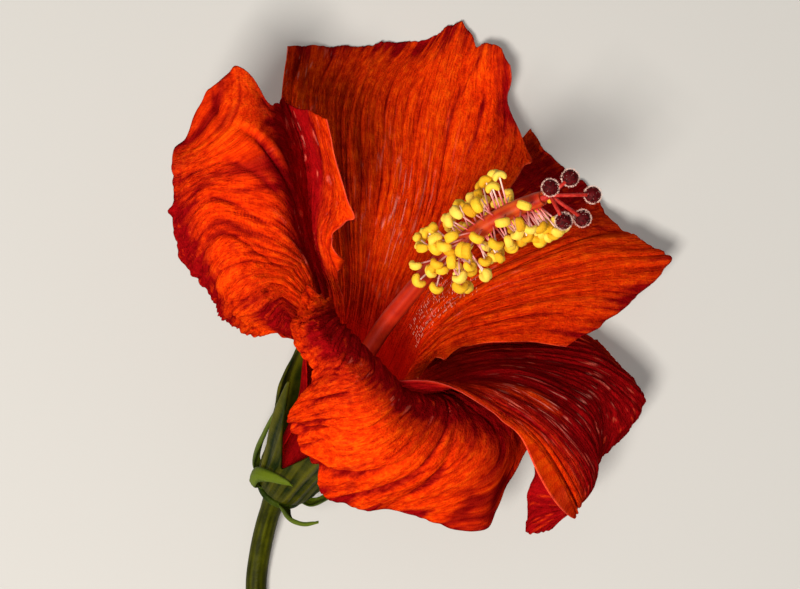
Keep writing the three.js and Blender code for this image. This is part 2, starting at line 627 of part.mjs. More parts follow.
const flower = new THREE.Group();
flower.position.set(-BOX_MIDDLE[0], -BOX_MIDDLE[1], -BOX_MIDDLE[2]);
flower.add(part('stalk', stalkGeometry(), COLOURS.stalk, 0.6));
flower.add(part('epicalyx', epicalyxGeometry(), COLOURS.bract, 0.6));
flower.add(part('calyx', calyxGeometry(), COLOURS.calyx, 0.55));
for (const petal of PETALS) {
  flower.add(part(petal.name, petalGeometry(petal), COLOURS.petal, 0.5));
}
flower.add(part('stamens', stamensGeometry(), COLOURS.stamens, 0.55));
flower.add(part('pistil', pistilGeometry(), COLOURS.pistil, 0.7));

export default flower;
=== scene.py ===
# A cut hibiscus flower lying on a pale table, seen from straight above. Sizes are written in
# millimetres, in the flower's own frame, and placed() turns them into the frame's metres.
import bpy
import numpy as np
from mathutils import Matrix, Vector


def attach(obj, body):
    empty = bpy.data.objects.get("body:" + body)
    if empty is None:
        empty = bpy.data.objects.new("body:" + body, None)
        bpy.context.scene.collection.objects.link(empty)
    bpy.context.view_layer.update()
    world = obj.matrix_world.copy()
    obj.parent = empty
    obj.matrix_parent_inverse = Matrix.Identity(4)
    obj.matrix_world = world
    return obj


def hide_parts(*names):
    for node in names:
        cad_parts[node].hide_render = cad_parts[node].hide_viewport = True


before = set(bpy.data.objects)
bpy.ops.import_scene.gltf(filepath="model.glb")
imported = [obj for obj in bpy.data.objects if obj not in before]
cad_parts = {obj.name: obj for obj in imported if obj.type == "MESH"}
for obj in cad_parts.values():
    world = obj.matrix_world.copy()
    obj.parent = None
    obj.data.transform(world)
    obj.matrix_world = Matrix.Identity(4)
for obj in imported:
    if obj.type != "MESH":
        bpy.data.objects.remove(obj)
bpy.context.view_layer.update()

# ---------------------------------------------------------------- stalk
# The flower stalk is a green fleshy rod, finely ridged along its length and downy. It lies along
# the table from its cut end, lifts towards the flower and widens into the receptacle, where all
# the other parts are grown on.

BOX_MIDDLE = np.array([4.1, -11.7, 0.0])
RECEPTACLE = np.array([-19.4, -31.5, 11.0])
STALK_RADIUS = 1.75
STALK_LINE = np.array([
    [-19.3, -68, STALK_RADIUS], [-21.6, -63, STALK_RADIUS], [-23.6, -57, STALK_RADIUS],
    [-24.3, -49.5, 2.3], [-23.6, -43.5, 3.6], [-22.3, -38, 5.9], [-20.8, -33.7, 8.6]])
STALK_STEPS = 150
STALK_SIDES = 48
STALK_TOP = -0.35
STALK_RIDGES = 12
RIDGE_SHARE = 0.012
FLARE_STEPS = 16
FLARE_PARTS, FLARE_WIDENING = [0.8, 0.93, 0.985, 1], [0, 0.3, 0.85, 1.1]
TABLE_CLEARANCE = 0.02


def unit(vectors):
    """Each vector divided by its own length."""
    return vectors / np.linalg.norm(vectors, axis=-1, keepdims=True)


AXIS = unit(np.array([0.41, 0.62, 0.67]))
SIDE = unit(np.cross(AXIS, [-0.37, -0.56, 0.74]))
UPWARD = unit(np.cross(SIDE, AXIS))


def placed(points):
    """The flower's own millimetres in the frame's metres: the middle of its box goes to the origin."""
    return (points - BOX_MIDDLE) * 0.001


def round_axis(azimuth, height, radius):
    """Point at an azimuth in degrees round the flower's axis, a height along it and a radius from it."""
    turn = np.radians(np.asarray(azimuth, float))[..., None]
    height, radius = np.asarray(height, float)[..., None], np.asarray(radius, float)[..., None]
    return RECEPTACLE + AXIS * height + radius * (SIDE * np.cos(turn) + UPWARD * np.sin(turn))


def smooth(x):
    """3x^2 - 2x^3 between 0 and 1, level outside."""
    x = np.clip(x, 0, 1)
    return x * x * (3 - 2 * x)


def spline_shares(count, t):
    """How much each of so many evenly numbered points weighs in the smooth curve through them at t:
    Catmull-Rom, with the line carried straight on past both ends."""
    start = np.clip(np.floor(t).astype(int), 0, count - 2)
    f = t - start
    four = [-f + 2 * f**2 - f**3, 2 - 5 * f**2 + 3 * f**3, f + 4 * f**2 - 3 * f**3, -f**2 + f**3]
    shares = np.zeros(np.shape(t) + (count + 2,))
    for k, weight in enumerate(four):
        np.put_along_axis(shares, (start + k)[..., None], weight[..., None] / 2, -1)
    shares[..., 1] += 2 * shares[..., 0]
    shares[..., 2] -= shares[..., 0]
    shares[..., -2] += 2 * shares[..., -1]
    shares[..., -3] -= shares[..., -1]
    return shares[..., 1:-1]


def through(points, t):
    """Points of the smooth curve through the given ones, at t counted in points from 0."""
    points = np.asarray(points, float)
    return spline_shares(len(points), np.asarray(t, float)) @ points


def wander(a, b, cells_a, cells_b, seed):
    """Smooth random values from -1 to 1 over a and b (each 0 to 1): random numbers on a lattice of
    cells_a by cells_b, joined by smooth steps."""
    lattice = np.random.default_rng(seed).uniform(-1, 1, (cells_a + 2, cells_b + 2))
    x, y = np.clip(a, 0, 1) * cells_a, np.clip(b, 0, 1) * cells_b
    i, j = np.floor(x).astype(int), np.floor(y).astype(int)
    s, t = smooth(x - i), smooth(y - j)
    near = lattice[i, j] * (1 - t) + lattice[i, j + 1] * t
    far = lattice[i + 1, j] * (1 - t) + lattice[i + 1, j + 1] * t
    return near * (1 - s) + far * s


def tube_grid(line, radii, sides, across):
    """Rings of points round a line, each ring square to it and turned so that its first point looks
    along the direction `across`, as nearly as a square section can."""
    tangents = unit(np.gradient(line, axis=-2))
    across = np.broadcast_to(np.asarray(across, float), tangents.shape)
    first = unit(across - tangents * (across * tangents).sum(-1, keepdims=True))
    second = np.cross(tangents, first)
    turn = np.linspace(0, 2 * np.pi, sides, endpoint=False)[:, None]
    ring = first[..., None, :] * np.cos(turn) + second[..., None, :] * np.sin(turn)
    radii = np.asarray(radii, float)
    radii = radii[..., None] if radii.ndim == line.ndim - 1 else radii
    return line[..., None, :] + ring * radii[..., None]


def grid_faces(rows, columns, wrapped):
    """The four corners of every cell of a grid of points, its last column joined to the first if
    wrapped."""
    across = np.arange(columns if wrapped else columns - 1)
    i, j = np.meshgrid(np.arange(rows - 1), across, indexing="ij")
    k = (j + 1) % columns
    return np.stack([i * columns + j, i * columns + k, (i + 1) * columns + k, (i + 1) * columns + j],
                    -1).reshape(-1, 4)


def new_piece(name, points, faces, material, slot, *nodes, **marks):
    """A smooth mesh object from points and faces that rides on the flower, takes the given material
    and stands for solids. Its slot is not used. Each mark is a named value for every point."""
    mesh = bpy.data.meshes.new(name)
    mesh.from_pydata(placed(points.reshape(-1, 3)).tolist(), [], [list(face) for face in faces])
    mesh.polygons.foreach_set("use_smooth", np.ones(len(mesh.polygons), bool))
    for mark, values in marks.items():
        mesh.attributes.new(mark, "FLOAT", "POINT").data.foreach_set("value", values.ravel())
    mesh.materials.append(material)
    piece = bpy.data.objects.new(name, mesh)
    bpy.context.scene.collection.objects.link(piece)
    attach(piece, "root")
    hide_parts(*nodes)
    return piece


def capped_tubes(grids):
    """Points and faces of tubes of the same build: the skin of each grid of rings, and its two ends
    closed by flat faces."""
    grids = grids.reshape((-1,) + grids.shape[-3:])
    count, rows, sides = grids.shape[:3]
    skin = grid_faces(rows, sides, True)
    ends = np.stack([np.arange(sides)[::-1], (rows - 1) * sides + np.arange(sides)])
    start = (np.arange(count) * rows * sides)[:, None, None]
    faces = (skin + start).reshape(-1, 4).tolist() + (ends + start).reshape(-1, sides).tolist()
    return grids.reshape(-1, 3), faces


def new_material(name):
    """A material, a function that adds a node to it and one that sets its shader's inputs. Settings
    are the node's own, and each input is a value or the output of another node."""
    material = bpy.data.materials.new(name)
    material.use_nodes = True
    tree = material.node_tree

    def add(kind, settings=(), inputs=()):
        node = tree.nodes.new("ShaderNode" + kind)
        for key, value in dict(settings).items():
            setattr(node, key, value)
        for key, value in dict(inputs).items():
            if isinstance(value, bpy.types.NodeSocket):
                tree.links.new(value, node.inputs[key])
            else:
                node.inputs[key].default_value = value
        return node

    def finish(**inputs):
        for key, value in inputs.items():
            socket = tree.nodes["Principled BSDF"].inputs[key.replace("_", " ")]
            if isinstance(value, bpy.types.NodeSocket):
                tree.links.new(value, socket)
            else:
                socket.default_value = value

    return material, add, finish


def colours(add, factor, *stops):
    """A colour ramp over a factor: each stop is a place from 0 to 1 and a linear colour."""
    ramp = add("ValToRGB", inputs={"Fac": factor})
    elements = ramp.color_ramp.elements
    for k, (place, colour) in enumerate(stops):
        element = elements[k] if k < 2 else elements.new(place)
        element.position = place
        element.color = (*colour, 1)
    return ramp.outputs["Color"]


def green_skin(name, dark, light, ridges, roughness):
    """Green plant skin: a blotched green, paler on the part's ribs, over a grain of tiny cells."""
    material, add, finish = new_material(name)
    place = add("TexCoord").outputs["Object"]
    ribs = add("Attribute", {"attribute_name": "rib"}).outputs["Fac"]
    blotch = add("TexNoise", inputs={"Vector": place, "Scale": 260, "Detail": 4}).outputs["Fac"]
    cells = add("TexVoronoi", inputs={"Vector": place, "Scale": 2600}).outputs["Distance"]
    rise = add("Math", {"operation": "MULTIPLY_ADD"}, {0: ribs, 1: ridges, 2: blotch}).outputs[0]
    tone = colours(add, rise, (0.3, dark), (0.85, light))
    bump = add("Bump", inputs={"Strength": 0.5, "Distance": 0.0001, "Height": cells})
    finish(Base_Color=tone, Roughness=roughness, Normal=bump.outputs["Normal"], Specular_IOR_Level=0.04,
           Subsurface_Weight=0.06, Subsurface_Radius=(0.001, 0.0012, 0.0004), Subsurface_Scale=0.6)
    return material


stalk_skin = green_skin("stalk_skin", (0.014, 0.016, 0.0003), (0.055, 0.058, 0.001), 0.3, 0.45)
along = np.linspace(0, 1, STALK_STEPS)
lying = through(STALK_LINE, np.linspace(0, len(STALK_LINE) - 1, STALK_STEPS - FLARE_STEPS))
lying[:, 2] = np.maximum(lying[:, 2], STALK_RADIUS)
flare = np.linspace(lying[-1], round_axis(0, STALK_TOP, 0), FLARE_STEPS + 1)[1:]
stalk_line = np.concatenate([lying, flare])
width = STALK_RADIUS + np.interp(along, FLARE_PARTS, FLARE_WIDENING)
turn = np.linspace(0, 1, STALK_SIDES, endpoint=False)
ridge = np.cos(2 * np.pi * STALK_RIDGES * turn) * 0.5 + 0.5 * wander(along[:, None], turn, 14, 24, 3)
uneven = wander(along[:, None], turn, 8, 2, 4)
width = width[:, None] * (1 + RIDGE_SHARE * ridge + RIDGE_SHARE * uneven)
width[0] *= 0.98
stalk_rings = tube_grid(stalk_line, width, STALK_SIDES, (0, 0, 1))
stalk_rings[..., 2] = np.maximum(stalk_rings[..., 2], TABLE_CLEARANCE)
points, faces = capped_tubes(stalk_rings)
new_piece("flower_stalk", points, faces, stalk_skin, "stalk", "stalk", rib=ridge)

# ---------------------------------------------------------------- bracts
# Six narrow pointed bracts stand in a whorl on a collar below the calyx. Each is a thin green blade
# with a raised middle vein; one is folded back over the calyx cup and round its front.

BRACT_WIDTH = 2.6
BRACT_THICKNESS = 0.5
BRACTS = [
    [[180, -0.8, 3.6], [179, 0.6, 5.9], [177, 4, 6.9], [175, 8, 7.3], [173, 12, 7.6], [172, 15.5, 7.7]],
    [[138, -0.8, 3.6], [140, 0.4, 6], [132, 3.6, 7.1], [116, 6, 7.2], [96, 7.4, 7], [78, 8, 6.9]],
    [[62, -0.8, 3.6], [60, -0.4, 5.8], [54, 0.6, 8], [48, 2.6, 10], [44, 5.4, 11.4]],
    [[4, -0.8, 3.6], [2, 0.2, 6], [0, 3, 7.4], [-2, 6.5, 8.6], [-3, 10, 9.8]],
    [[300, -0.8, 3.6], [300, 0.2, 6], [300, 3, 7.5], [299, 6.5, 8.8], [298, 10, 10.2]],
    [[236, -0.8, 3.6], [236, 0.2, 6], [236, 3, 7.6], [237, 6.5, 9], [238, 10, 10.6]],
]
BRACT_COLLAR = {"inner": 3.2, "outer": 4.2, "bottom": -1.5, "top": -0.4}
BRACT_STEPS = 60
BRACT_SIDES = 32
COLLAR_AROUND = 72
COLLAR_SIDES = 24


def bract(middle):
    """Rings of a flat lens-shaped section along the bract's middle line: its width is fullest a third
    of the way up and closes to a point, and its outer face has a raised vein down the middle."""
    azimuth, height, radius = np.array(middle, float).T
    line = through(round_axis(azimuth, height, radius), np.linspace(0, len(middle) - 1, BRACT_STEPS))
    t = np.linspace(0, 1, BRACT_STEPS)[:, None, None]
    tangent = unit(np.gradient(line, axis=0))
    outward = line - RECEPTACLE
    outward = unit(outward - AXIS * (outward @ AXIS)[:, None])
    wide = unit(np.cross(tangent, outward))
    thick = np.cross(wide, tangent)
    fullness = 0.1 + 0.9 * np.sin(np.pi * (0.25 + 0.75 * t)) ** 0.7
    half = BRACT_WIDTH / 2 * fullness * (1 - 0.9 * smooth(t * 12 - 11))
    turn = np.linspace(0, 2 * np.pi, BRACT_SIDES, endpoint=False)[:, None]
    x, y = np.cos(turn), np.sin(turn)
    vein = 0.35 * np.exp(-(x * 5) ** 2) * np.sign(y) + 0.1 * np.cos(14 * x) * y
    curl = 0.35 * half * x**2
    depth = BRACT_THICKNESS / 2 * (1 - 0.35 * t) * (np.abs(y) ** 0.7 * np.sign(y) + vein) - curl
    return line[:, None] + wide[:, None] * x * half + thick[:, None] * depth


def collar_ring():
    """A short ring round the axis: a section with rounded corners, whose cosine and sine are drawn
    towards 1 by a power of 0.6, turned through a full circle."""
    inner, outer, bottom, top = BRACT_COLLAR.values()
    turn = np.linspace(0, 2 * np.pi, COLLAR_SIDES, endpoint=False)
    x, y = [np.sign(wave) * np.abs(wave) ** 0.6 for wave in (np.cos(turn), np.sin(turn))]
    height = (top + bottom) / 2 + (top - bottom) / 2 * y
    radius = (inner + outer) / 2 + (outer - inner) / 2 * x
    azimuth = np.linspace(0, 360, COLLAR_AROUND, endpoint=False)[:, None]
    ring = round_axis(azimuth, height, radius)
    faces = grid_faces(COLLAR_AROUND + 1, COLLAR_SIDES, True) % (COLLAR_AROUND * COLLAR_SIDES)
    return ring.reshape(-1, 3), faces.tolist()


bract_skin = green_skin("bract_skin", (0.005, 0.013, 0.0006), (0.075, 0.105, 0.005), 0.5, 0.5)
blades = np.stack([bract(middle) for middle in BRACTS])
points, faces = capped_tubes(blades)
ring_points, ring_faces = collar_ring()
faces += [[corner + len(points) for corner in face] for face in ring_faces]
rib = np.cos(np.linspace(0, 2 * np.pi, BRACT_SIDES, endpoint=False)) ** 2
rib = 1 - np.broadcast_to(rib, blades.shape[:3]).ravel()
rib = np.concatenate([rib, np.zeros(len(ring_points))])
new_piece("bract_whorl", np.concatenate([points, ring_points]), faces, bract_skin, "bract",
          "epicalyx", rib=rib)

# ---------------------------------------------------------------- calyx
# The calyx is one green cup that parts into five pointed lobes. Its wall is ribbed along its length
# and downy, and the lobes stand between the petals' claws.

CALYX_WALL = 0.6
CALYX_RIM_HEIGHT = 8.5
CALYX_HEIGHTS = np.array([0, 0.9, 3, 6, 9, 12, 16, 20, 24, 28.0])
CALYX_RADII = np.array([3.9, 4.9, 5.4, 5.7, 6, 6.5, 7.2, 7.9, 8.6, 9.2])
SEPALS = np.array([[142, 27, 1.6], [214, 25, 4], [286, 23, 1], [358, 22, 0.6], [70, 22, 0.8]])
CALYX_AROUND = 360
CALYX_LEVELS = 70
BROAD_RIBS, FINE_RIBS = 20, 55


def calyx_wall(inset):
    """The wall at every azimuth and level: its top is the rim, raised over each lobe to a point; its
    radius follows the cup, pushed out by the lobe's spread, with ribs that grow from the foot and a
    keel down each lobe's middle. A sepal is an azimuth, a tip height and a spread."""
    lobes_round = np.arange(CALYX_AROUND) / CALYX_AROUND * len(SEPALS)
    lobe = np.floor(lobes_round).astype(int)
    aside = (lobes_round - lobe) * 2 - 1
    middle, tip, spread = SEPALS[lobe].T
    share = 1 - np.abs(aside)
    level = np.linspace(0, 1, CALYX_LEVELS)[:, None]
    top = CALYX_RIM_HEIGHT + (tip - CALYX_RIM_HEIGHT) * share**1.25
    bottom = CALYX_WALL if inset else 0
    height = bottom + (top - bottom) * level**1.15
    radius = np.interp(height, CALYX_HEIGHTS, CALYX_RADII)
    radius = radius + spread * share**0.5 * smooth((height - 2) / 16)
    turn = 2 * np.pi * lobes_round / len(SEPALS)
    ribs = np.cos(BROAD_RIBS * turn) + 0.4 * np.cos(FINE_RIBS * turn + 1.3)
    ribs = ribs * smooth(height / 3)
    keel = np.exp(-(aside / 0.12) ** 2) * smooth(height / 6) * (1 - smooth(level * 6 - 5))
    if not inset:
        radius = radius + 0.1 * ribs + 0.25 * keel
    return round_axis(middle + 180 / len(SEPALS) * aside, height, radius - inset), 0.5 * ribs + keel


outer, outer_rib = calyx_wall(0)
inner, inner_rib = calyx_wall(CALYX_WALL * 0.8)
calyx_points, faces = capped_tubes(np.concatenate([outer, inner[::-1]]))
calyx_skin = green_skin("calyx_skin", (0.005, 0.010, 0.0006), (0.060, 0.056, 0.002), 0.25, 0.48)
new_piece("calyx_cup", calyx_points, faces, calyx_skin, "calyx", "calyx",
          rib=np.concatenate([outer_rib, inner_rib[::-1]]))

# ---------------------------------------------------------------- petals
# Five thin silky petals, each a claw in the tube and a broad blade. Veins run out along each blade
# towards its crisped, toothed margin, and each petal's one edge lies over its neighbour's. The skin
# is orange-red, with dark crimson painted shade in patches where a blade turns from the light and in
# its furrows, and thin pinkish painted highlights on the finest veins.

PETAL_THICKNESS = 0.34
VEIN_HEIGHT = 0.42
PETAL_COLUMNS = 250
ROWS_IN_TUBE = 18
ROWS_BEYOND = 134
TUBE_RINGS = np.array([[1.3, 3.3, 28, 0.4], [11, 4.2, 44, 0.7], [21, 5.6, 52, 1.05], [29, 8, 55, 1.45]])
TUBE_END = len(TUBE_RINGS) - 1
STRAIGHT_UNTIL, LEVEL_ROW = 4.6, 5
EDGE_POWER, MARGIN_POWER = 16, 6
FURROW_SHADE = 0.75
THREAD_DARKENING = 0.45
EDGE_GLEAM = 0.12


def petal_surface(azimuth, rows, u, v):
    """The smooth surface through a net of guide points, u counted in rows and v from 0 to 1 across.
    The first rows are the claw: arcs round the axis whose edges lie off the radius by the lap."""
    columns = len(rows[0])
    height, radius, half_angle, lap = TUBE_RINGS.T[..., None]
    t = np.linspace(-1, 1, columns)
    claw = round_axis(azimuth + half_angle * t, height, radius - lap * t)
    net = np.concatenate([claw, np.array(rows, float)])
    by_row, by_column = spline_shares(len(net), u), spline_shares(columns, v * (columns - 1))
    return np.einsum("ijr,ijc,rcx->ijx", by_row, by_column, net, optimize=True)


def facing(surface):
    """The direction square to a grid of points at each of them, towards the petal's inner face."""
    return unit(np.cross(np.gradient(surface, axis=1), np.gradient(surface, axis=0)))


def reach(t, teeth):
    """How far an edge stands out at t along it: a sum of bell-shaped teeth, each with its place, its
    half width and its height, below 0 for a notch."""
    place, width, height = np.array(teeth, float).T[..., None, None]
    return (height * np.exp(-((t - place) / width) ** 2)).sum(0)


def pleats(u, v, folds):
    """Long folds pressed along a blade: each a ridge of bell-shaped section at a place (u, v), with a
    slant, a half length, a half width and a height, below 0 for a furrow."""
    place, middle, slant, length, width, height = np.array(folds, float).T[..., None, None]
    off = (v - middle - slant * (u - place)) / width
    return (height * np.exp(-((u - place) / length) ** 2 - off**2)).sum(0)


def swept(u, v, sweep):
    """The place across a blade that the vein through (u, v) has at the level row. Inside a band of v
    with a middle and a half width, veins run at a slant that eases from row to row; nearer the
    throat they run straight."""
    slant, easing, middle, width = sweep
    far = np.maximum(u, STRAIGHT_UNTIL) - LEVEL_ROW
    run = slant * far + easing * far**2 / 2
    return v - run * np.exp(-((v - middle) / width) ** 4)


def creases(a, b, cells_a, cells_b, seed):
    """Smooth random values drawn out along a and folded at 0: sharp lines at 1, broad swells at -1."""
    return 1 - 2.6 * np.abs(wander(a, b, cells_a, cells_b, seed))


def veins(beyond, v, sharp, seed):
    """Height of the vein relief, about -1 to 1: creases along the blade, coarse ones near the throat
    and finer ones added towards the margin, all drifting a little from side to side. They are
    raised lines where sharp is 1 and furrows where it is -1."""
    drift = v + 0.018 * wander(beyond, v, 5, 6, seed)
    relief = -0.34 * creases(beyond, drift, 3, 22, seed + 1)
    relief += 0.44 * sharp * creases(beyond, drift, 4, 46, seed + 2)
    return relief + (0.14 + 0.16 * beyond) * sharp * creases(beyond, drift, 10, 82, seed + 3)


def fine_lines(beyond, v, seed):
    """Thin lines along the blade, 0 to 1: the crests of fine creases, kept only in short stretches.
    They carry the painted highlights.
    """
    crest = smooth(3.2 * creases(beyond, v, 6, 74, seed) - 2.1)
    return crest * smooth(2.5 * wander(beyond, v, 34, 50, seed + 1) + 0.3)


def petal_relief(seed, sharp, sweep, folds, frill, waves, u, v, beyond):
    """How far each point of a blade stands off its smooth surface, in millimetres: a sine across it
    that grows towards the margin, a sine along it at the overlapping edge, the pressed folds, a
    random crisping and swelling, and the veins. The second value is the part that paints the skin's
    light and shade: lighter where it is raised, painted shade in its furrows."""
    count, height, phase = waves
    margin = height * beyond**4 * np.sin(2 * np.pi * (count * v + phase))
    count, height, phase = frill
    edge = height * v**8 * smooth(beyond * 4) * (1 - beyond**4)
    edge = edge * np.sin(2 * np.pi * (count * beyond + phase))
    grown = smooth(beyond * 5)
    relief = veins(beyond, swept(u, v, sweep), sharp, seed)
    crisp = 0.35 * wander(beyond, v, 4, 26, seed + 5) * beyond**5
    swell = 0.3 * wander(beyond, v, 4, 9, seed + 4) * grown
    pressed = pleats(u, v, folds)
    return margin + edge + pressed + crisp + swell + VEIN_HEIGHT * relief * grown, relief + pressed


def petal_skin():
    """Petal skin: orange-red where it is raised and crimson in the furrows, as painted light and shade
    of its relief, deeper down the throat, then dark crimson painted shade and pinkish painted
    highlights, in that order one over the other. Its tone adds the relief, threads and finer threads
    along the blade, and a mottle. Tiny domed cells and the threads are pressed in it."""
    material, add, finish = new_material("petal_skin")
    place = add("TexCoord")
    depth = add("Attribute", {"attribute_name": "depth"}).outputs["Fac"]
    relief = add("Attribute", {"attribute_name": "relief"}).outputs["Fac"]
    stain = add("Attribute", {"attribute_name": "stain"}).outputs["Fac"]
    gleam = add("Attribute", {"attribute_name": "gleam"}).outputs["Fac"]
    stretch = add("Mapping", inputs={"Vector": place.outputs["UV"], "Scale": (150, 7, 1)})
    threads = add("TexNoise", inputs={"Vector": stretch.outputs[0], "Scale": 1, "Detail": 3})
    stretch = add("Mapping", inputs={"Vector": place.outputs["UV"], "Scale": (330, 26, 1)})
    fine = add("TexNoise", inputs={"Vector": stretch.outputs[0], "Scale": 1, "Detail": 2})
    cells = add("TexVoronoi", inputs={"Vector": place.outputs["Object"], "Scale": 3300})
    mottle = add("TexNoise", inputs={"Vector": place.outputs["Object"], "Scale": 700, "Detail": 3})
    tone = threads
    # The relief in the tone paints light and shade: raised veins come out orange, furrows crimson.
    for part, share in ((relief, 0.2), (mottle.outputs["Fac"], 0.6), (fine.outputs["Fac"], 0.6)):
        tone = add("Math", {"operation": "MULTIPLY_ADD"}, {0: part, 1: share, 2: tone.outputs[0]})
    tone = add("Math", {"operation": "MULTIPLY"}, {0: tone.outputs[0], 1: 0.45})
    blade = colours(add, tone.outputs[0], (0.34, (0.36, 0.006, 0.001)), (0.5, (0.68, 0.030, 0.0012)),
                    (0.66, (0.90, 0.085, 0.002)))
    throat = colours(add, tone.outputs[0], (0.36, (0.36, 0.002, 0.001)), (0.66, (0.60, 0.006, 0.001)))
    deep = colours(add, tone.outputs[0], (0.36, (0.13, 0.001, 0.0018)), (0.66, (0.33, 0.003, 0.004)))
    mix = add("Mix", {"data_type": "RGBA"}, {0: depth, 6: throat, 7: blade})
    # Dark crimson painted shade over the skin, then pinkish painted highlights.
    mix = add("Mix", {"data_type": "RGBA"}, {0: stain, 6: mix.outputs[2], 7: deep})
    mix = add("Mix", {"data_type": "RGBA"}, {0: gleam, 6: mix.outputs[2], 7: (0.78, 0.22, 0.17, 1)})
    height = add("Math", {"operation": "MULTIPLY_ADD"},
                 {0: fine.outputs["Fac"], 1: 0.5, 2: threads.outputs["Fac"]})
    first = add("Bump", inputs={"Strength": 1.0, "Distance": 0.00035, "Height": height.outputs[0]})
    second = add("Bump", inputs={"Strength": 0.5, "Distance": 0.00015, "Height": cells.outputs["Distance"],
                                 "Normal": first.outputs["Normal"]})
    rough = add("MapRange", inputs={"Value": mottle.outputs["Fac"], "From Min": 0.3, "From Max": 0.7,
                                    "To Min": 0.27, "To Max": 0.42})
    finish(Base_Color=mix.outputs[2], Roughness=rough.outputs[0], Normal=second.outputs["Normal"],
           Specular_IOR_Level=0.0, Subsurface_Weight=0.04,
           Subsurface_Radius=(0.0015, 0.0002, 0.0001), Subsurface_Scale=0.5)
    return material


silk = petal_skin()


def sheet(surface, beyond, spread):
    """A thin sheet: the surface moved half a thickness to each side, thinner towards the margin and
    both edges and kept above the table, and the faces of both sides and of the band round them."""
    rows, columns = spread.shape
    half = PETAL_THICKNESS / 2 * (1 - 0.45 * np.maximum(beyond, np.abs(2 * spread - 1)) ** 12)[..., None]
    normal = facing(surface)
    shell = np.stack([surface + normal * half, surface - normal * half])
    lowest = np.array([PETAL_THICKNESS, TABLE_CLEARANCE])[:, None, None]
    shell[..., 2] = np.maximum(shell[..., 2], lowest)
    skin = grid_faces(rows, columns, False)
    index = np.arange(rows * columns).reshape(rows, columns)
    border = np.concatenate([index[:-1, 0], index[-1, :-1], index[:0:-1, -1], index[0, :0:-1]])
    after = np.roll(border, -1)
    back = rows * columns
    band = np.stack([border, after, after + back, border + back], -1)
    return shell, np.concatenate([skin, skin[:, ::-1] + back, band])


def painted(u, v, along, relief, beyond, shade_patches, glints, seed):
    """How much painted shade and painted highlight each point takes, 0 to 1. The painted shade adds soft
    patches with ragged ends, which it halves along the fine lines as painted streaks of light, the
    deepest furrows, and thin darker threads kept to broken stretches; patches below 0 take shade away
    again as painted light. The highlight is fine lines inside soft patches. A patch is given as a fold
    is: place, middle, slant, half length and width, amount."""
    lines = fine_lines(beyond, along, seed + 7)
    ragged = u + 0.12 * relief + 0.3 * wander(beyond, along, 3, 70, seed + 6)
    patches = np.clip(pleats(ragged, v, shade_patches), 0, 1) * (1 - 0.5 * lines)
    threads = smooth(3 * creases(beyond, along, 4, 70, seed + 9) - 1.6)
    threads = threads * smooth(1.5 * wander(beyond, v, 9, 20, seed + 10) + 0.7)
    furrows = smooth(-2.4 * relief - 0.85)
    stain = patches + FURROW_SHADE * furrows + THREAD_DARKENING * threads * smooth(5 * beyond - 0.4)
    return np.clip(stain, 0, 1), lines * pleats(u, v, glints)


def petal(node, azimuth, waves, frill, tip_teeth, near_teeth, far_teeth, sharp, sweep, folds, shade_patches,
          glints, seed, rows):
    """A petal: the surface through its guide rows, with its outline drawn out by the teeth along the
    margin and both edges, raised by its relief, made a sheet and painted. The teeth fade inwards as
    a power of the distance across. The waves and the frill are each a count, a height and a phase.
    It gives back the points of the inner face."""
    last = TUBE_END + len(rows)
    u = np.concatenate([np.linspace(0, TUBE_END, ROWS_IN_TUBE, endpoint=False),
                        np.linspace(TUBE_END, last, ROWS_BEYOND)])[:, None]
    beyond = np.clip((u - TUBE_END) / (last - TUBE_END), 0, 1)
    spread = np.broadcast_to(np.linspace(0, 1, PETAL_COLUMNS), (len(u), PETAL_COLUMNS))
    u = u + beyond**MARGIN_POWER * reach(spread, tip_teeth)
    v = spread + reach(u, far_teeth) * spread**EDGE_POWER
    v = v - reach(u, near_teeth) * (1 - spread) ** EDGE_POWER
    across = np.clip(v, 0, 1)
    surface = petal_surface(azimuth, rows, u, v)
    height, relief = petal_relief(seed, sharp, sweep, folds, frill, waves, u, across, beyond)
    shell, faces = sheet(surface + facing(surface) * height[..., None], beyond, spread)
    depth = np.broadcast_to(smooth((beyond - 0.05) * 2.6), v.shape)
    along = swept(u, across, sweep)
    # Painted shade and painted highlights on the inner face.
    stain, gleam = painted(u, v, along, relief, beyond, shade_patches, glints, seed)
    # A thin painted highlight along the blade's far edge.
    edge_line = smooth(150 * spread - 149.2) * smooth(5 * beyond - 0.4)
    gleam = np.clip(gleam + EDGE_GLEAM * edge_line, 0, 1)
    # The outer face takes the same marks, its relief turned and weakened, with painted shade that deepens to
    # full towards the claw.
    piece = new_piece(node + "_blade", shell, faces, silk, "petal", node, depth=np.stack([depth, depth]),
                      relief=np.stack([relief, -0.6 * relief]), gleam=np.stack([gleam, gleam]),
                      stain=np.stack([stain, np.clip(stain + 1 - depth, 0, 1)]))
    corners = np.empty(len(piece.data.loops), int)
    piece.data.loops.foreach_get("vertex_index", corners)
    flat = np.tile(np.stack([along, u], -1).reshape(-1, 2), (2, 1))
    piece.data.uv_layers.new(name="along_the_veins").data.foreach_set("uv", flat[corners].ravel())
    return shell[0]
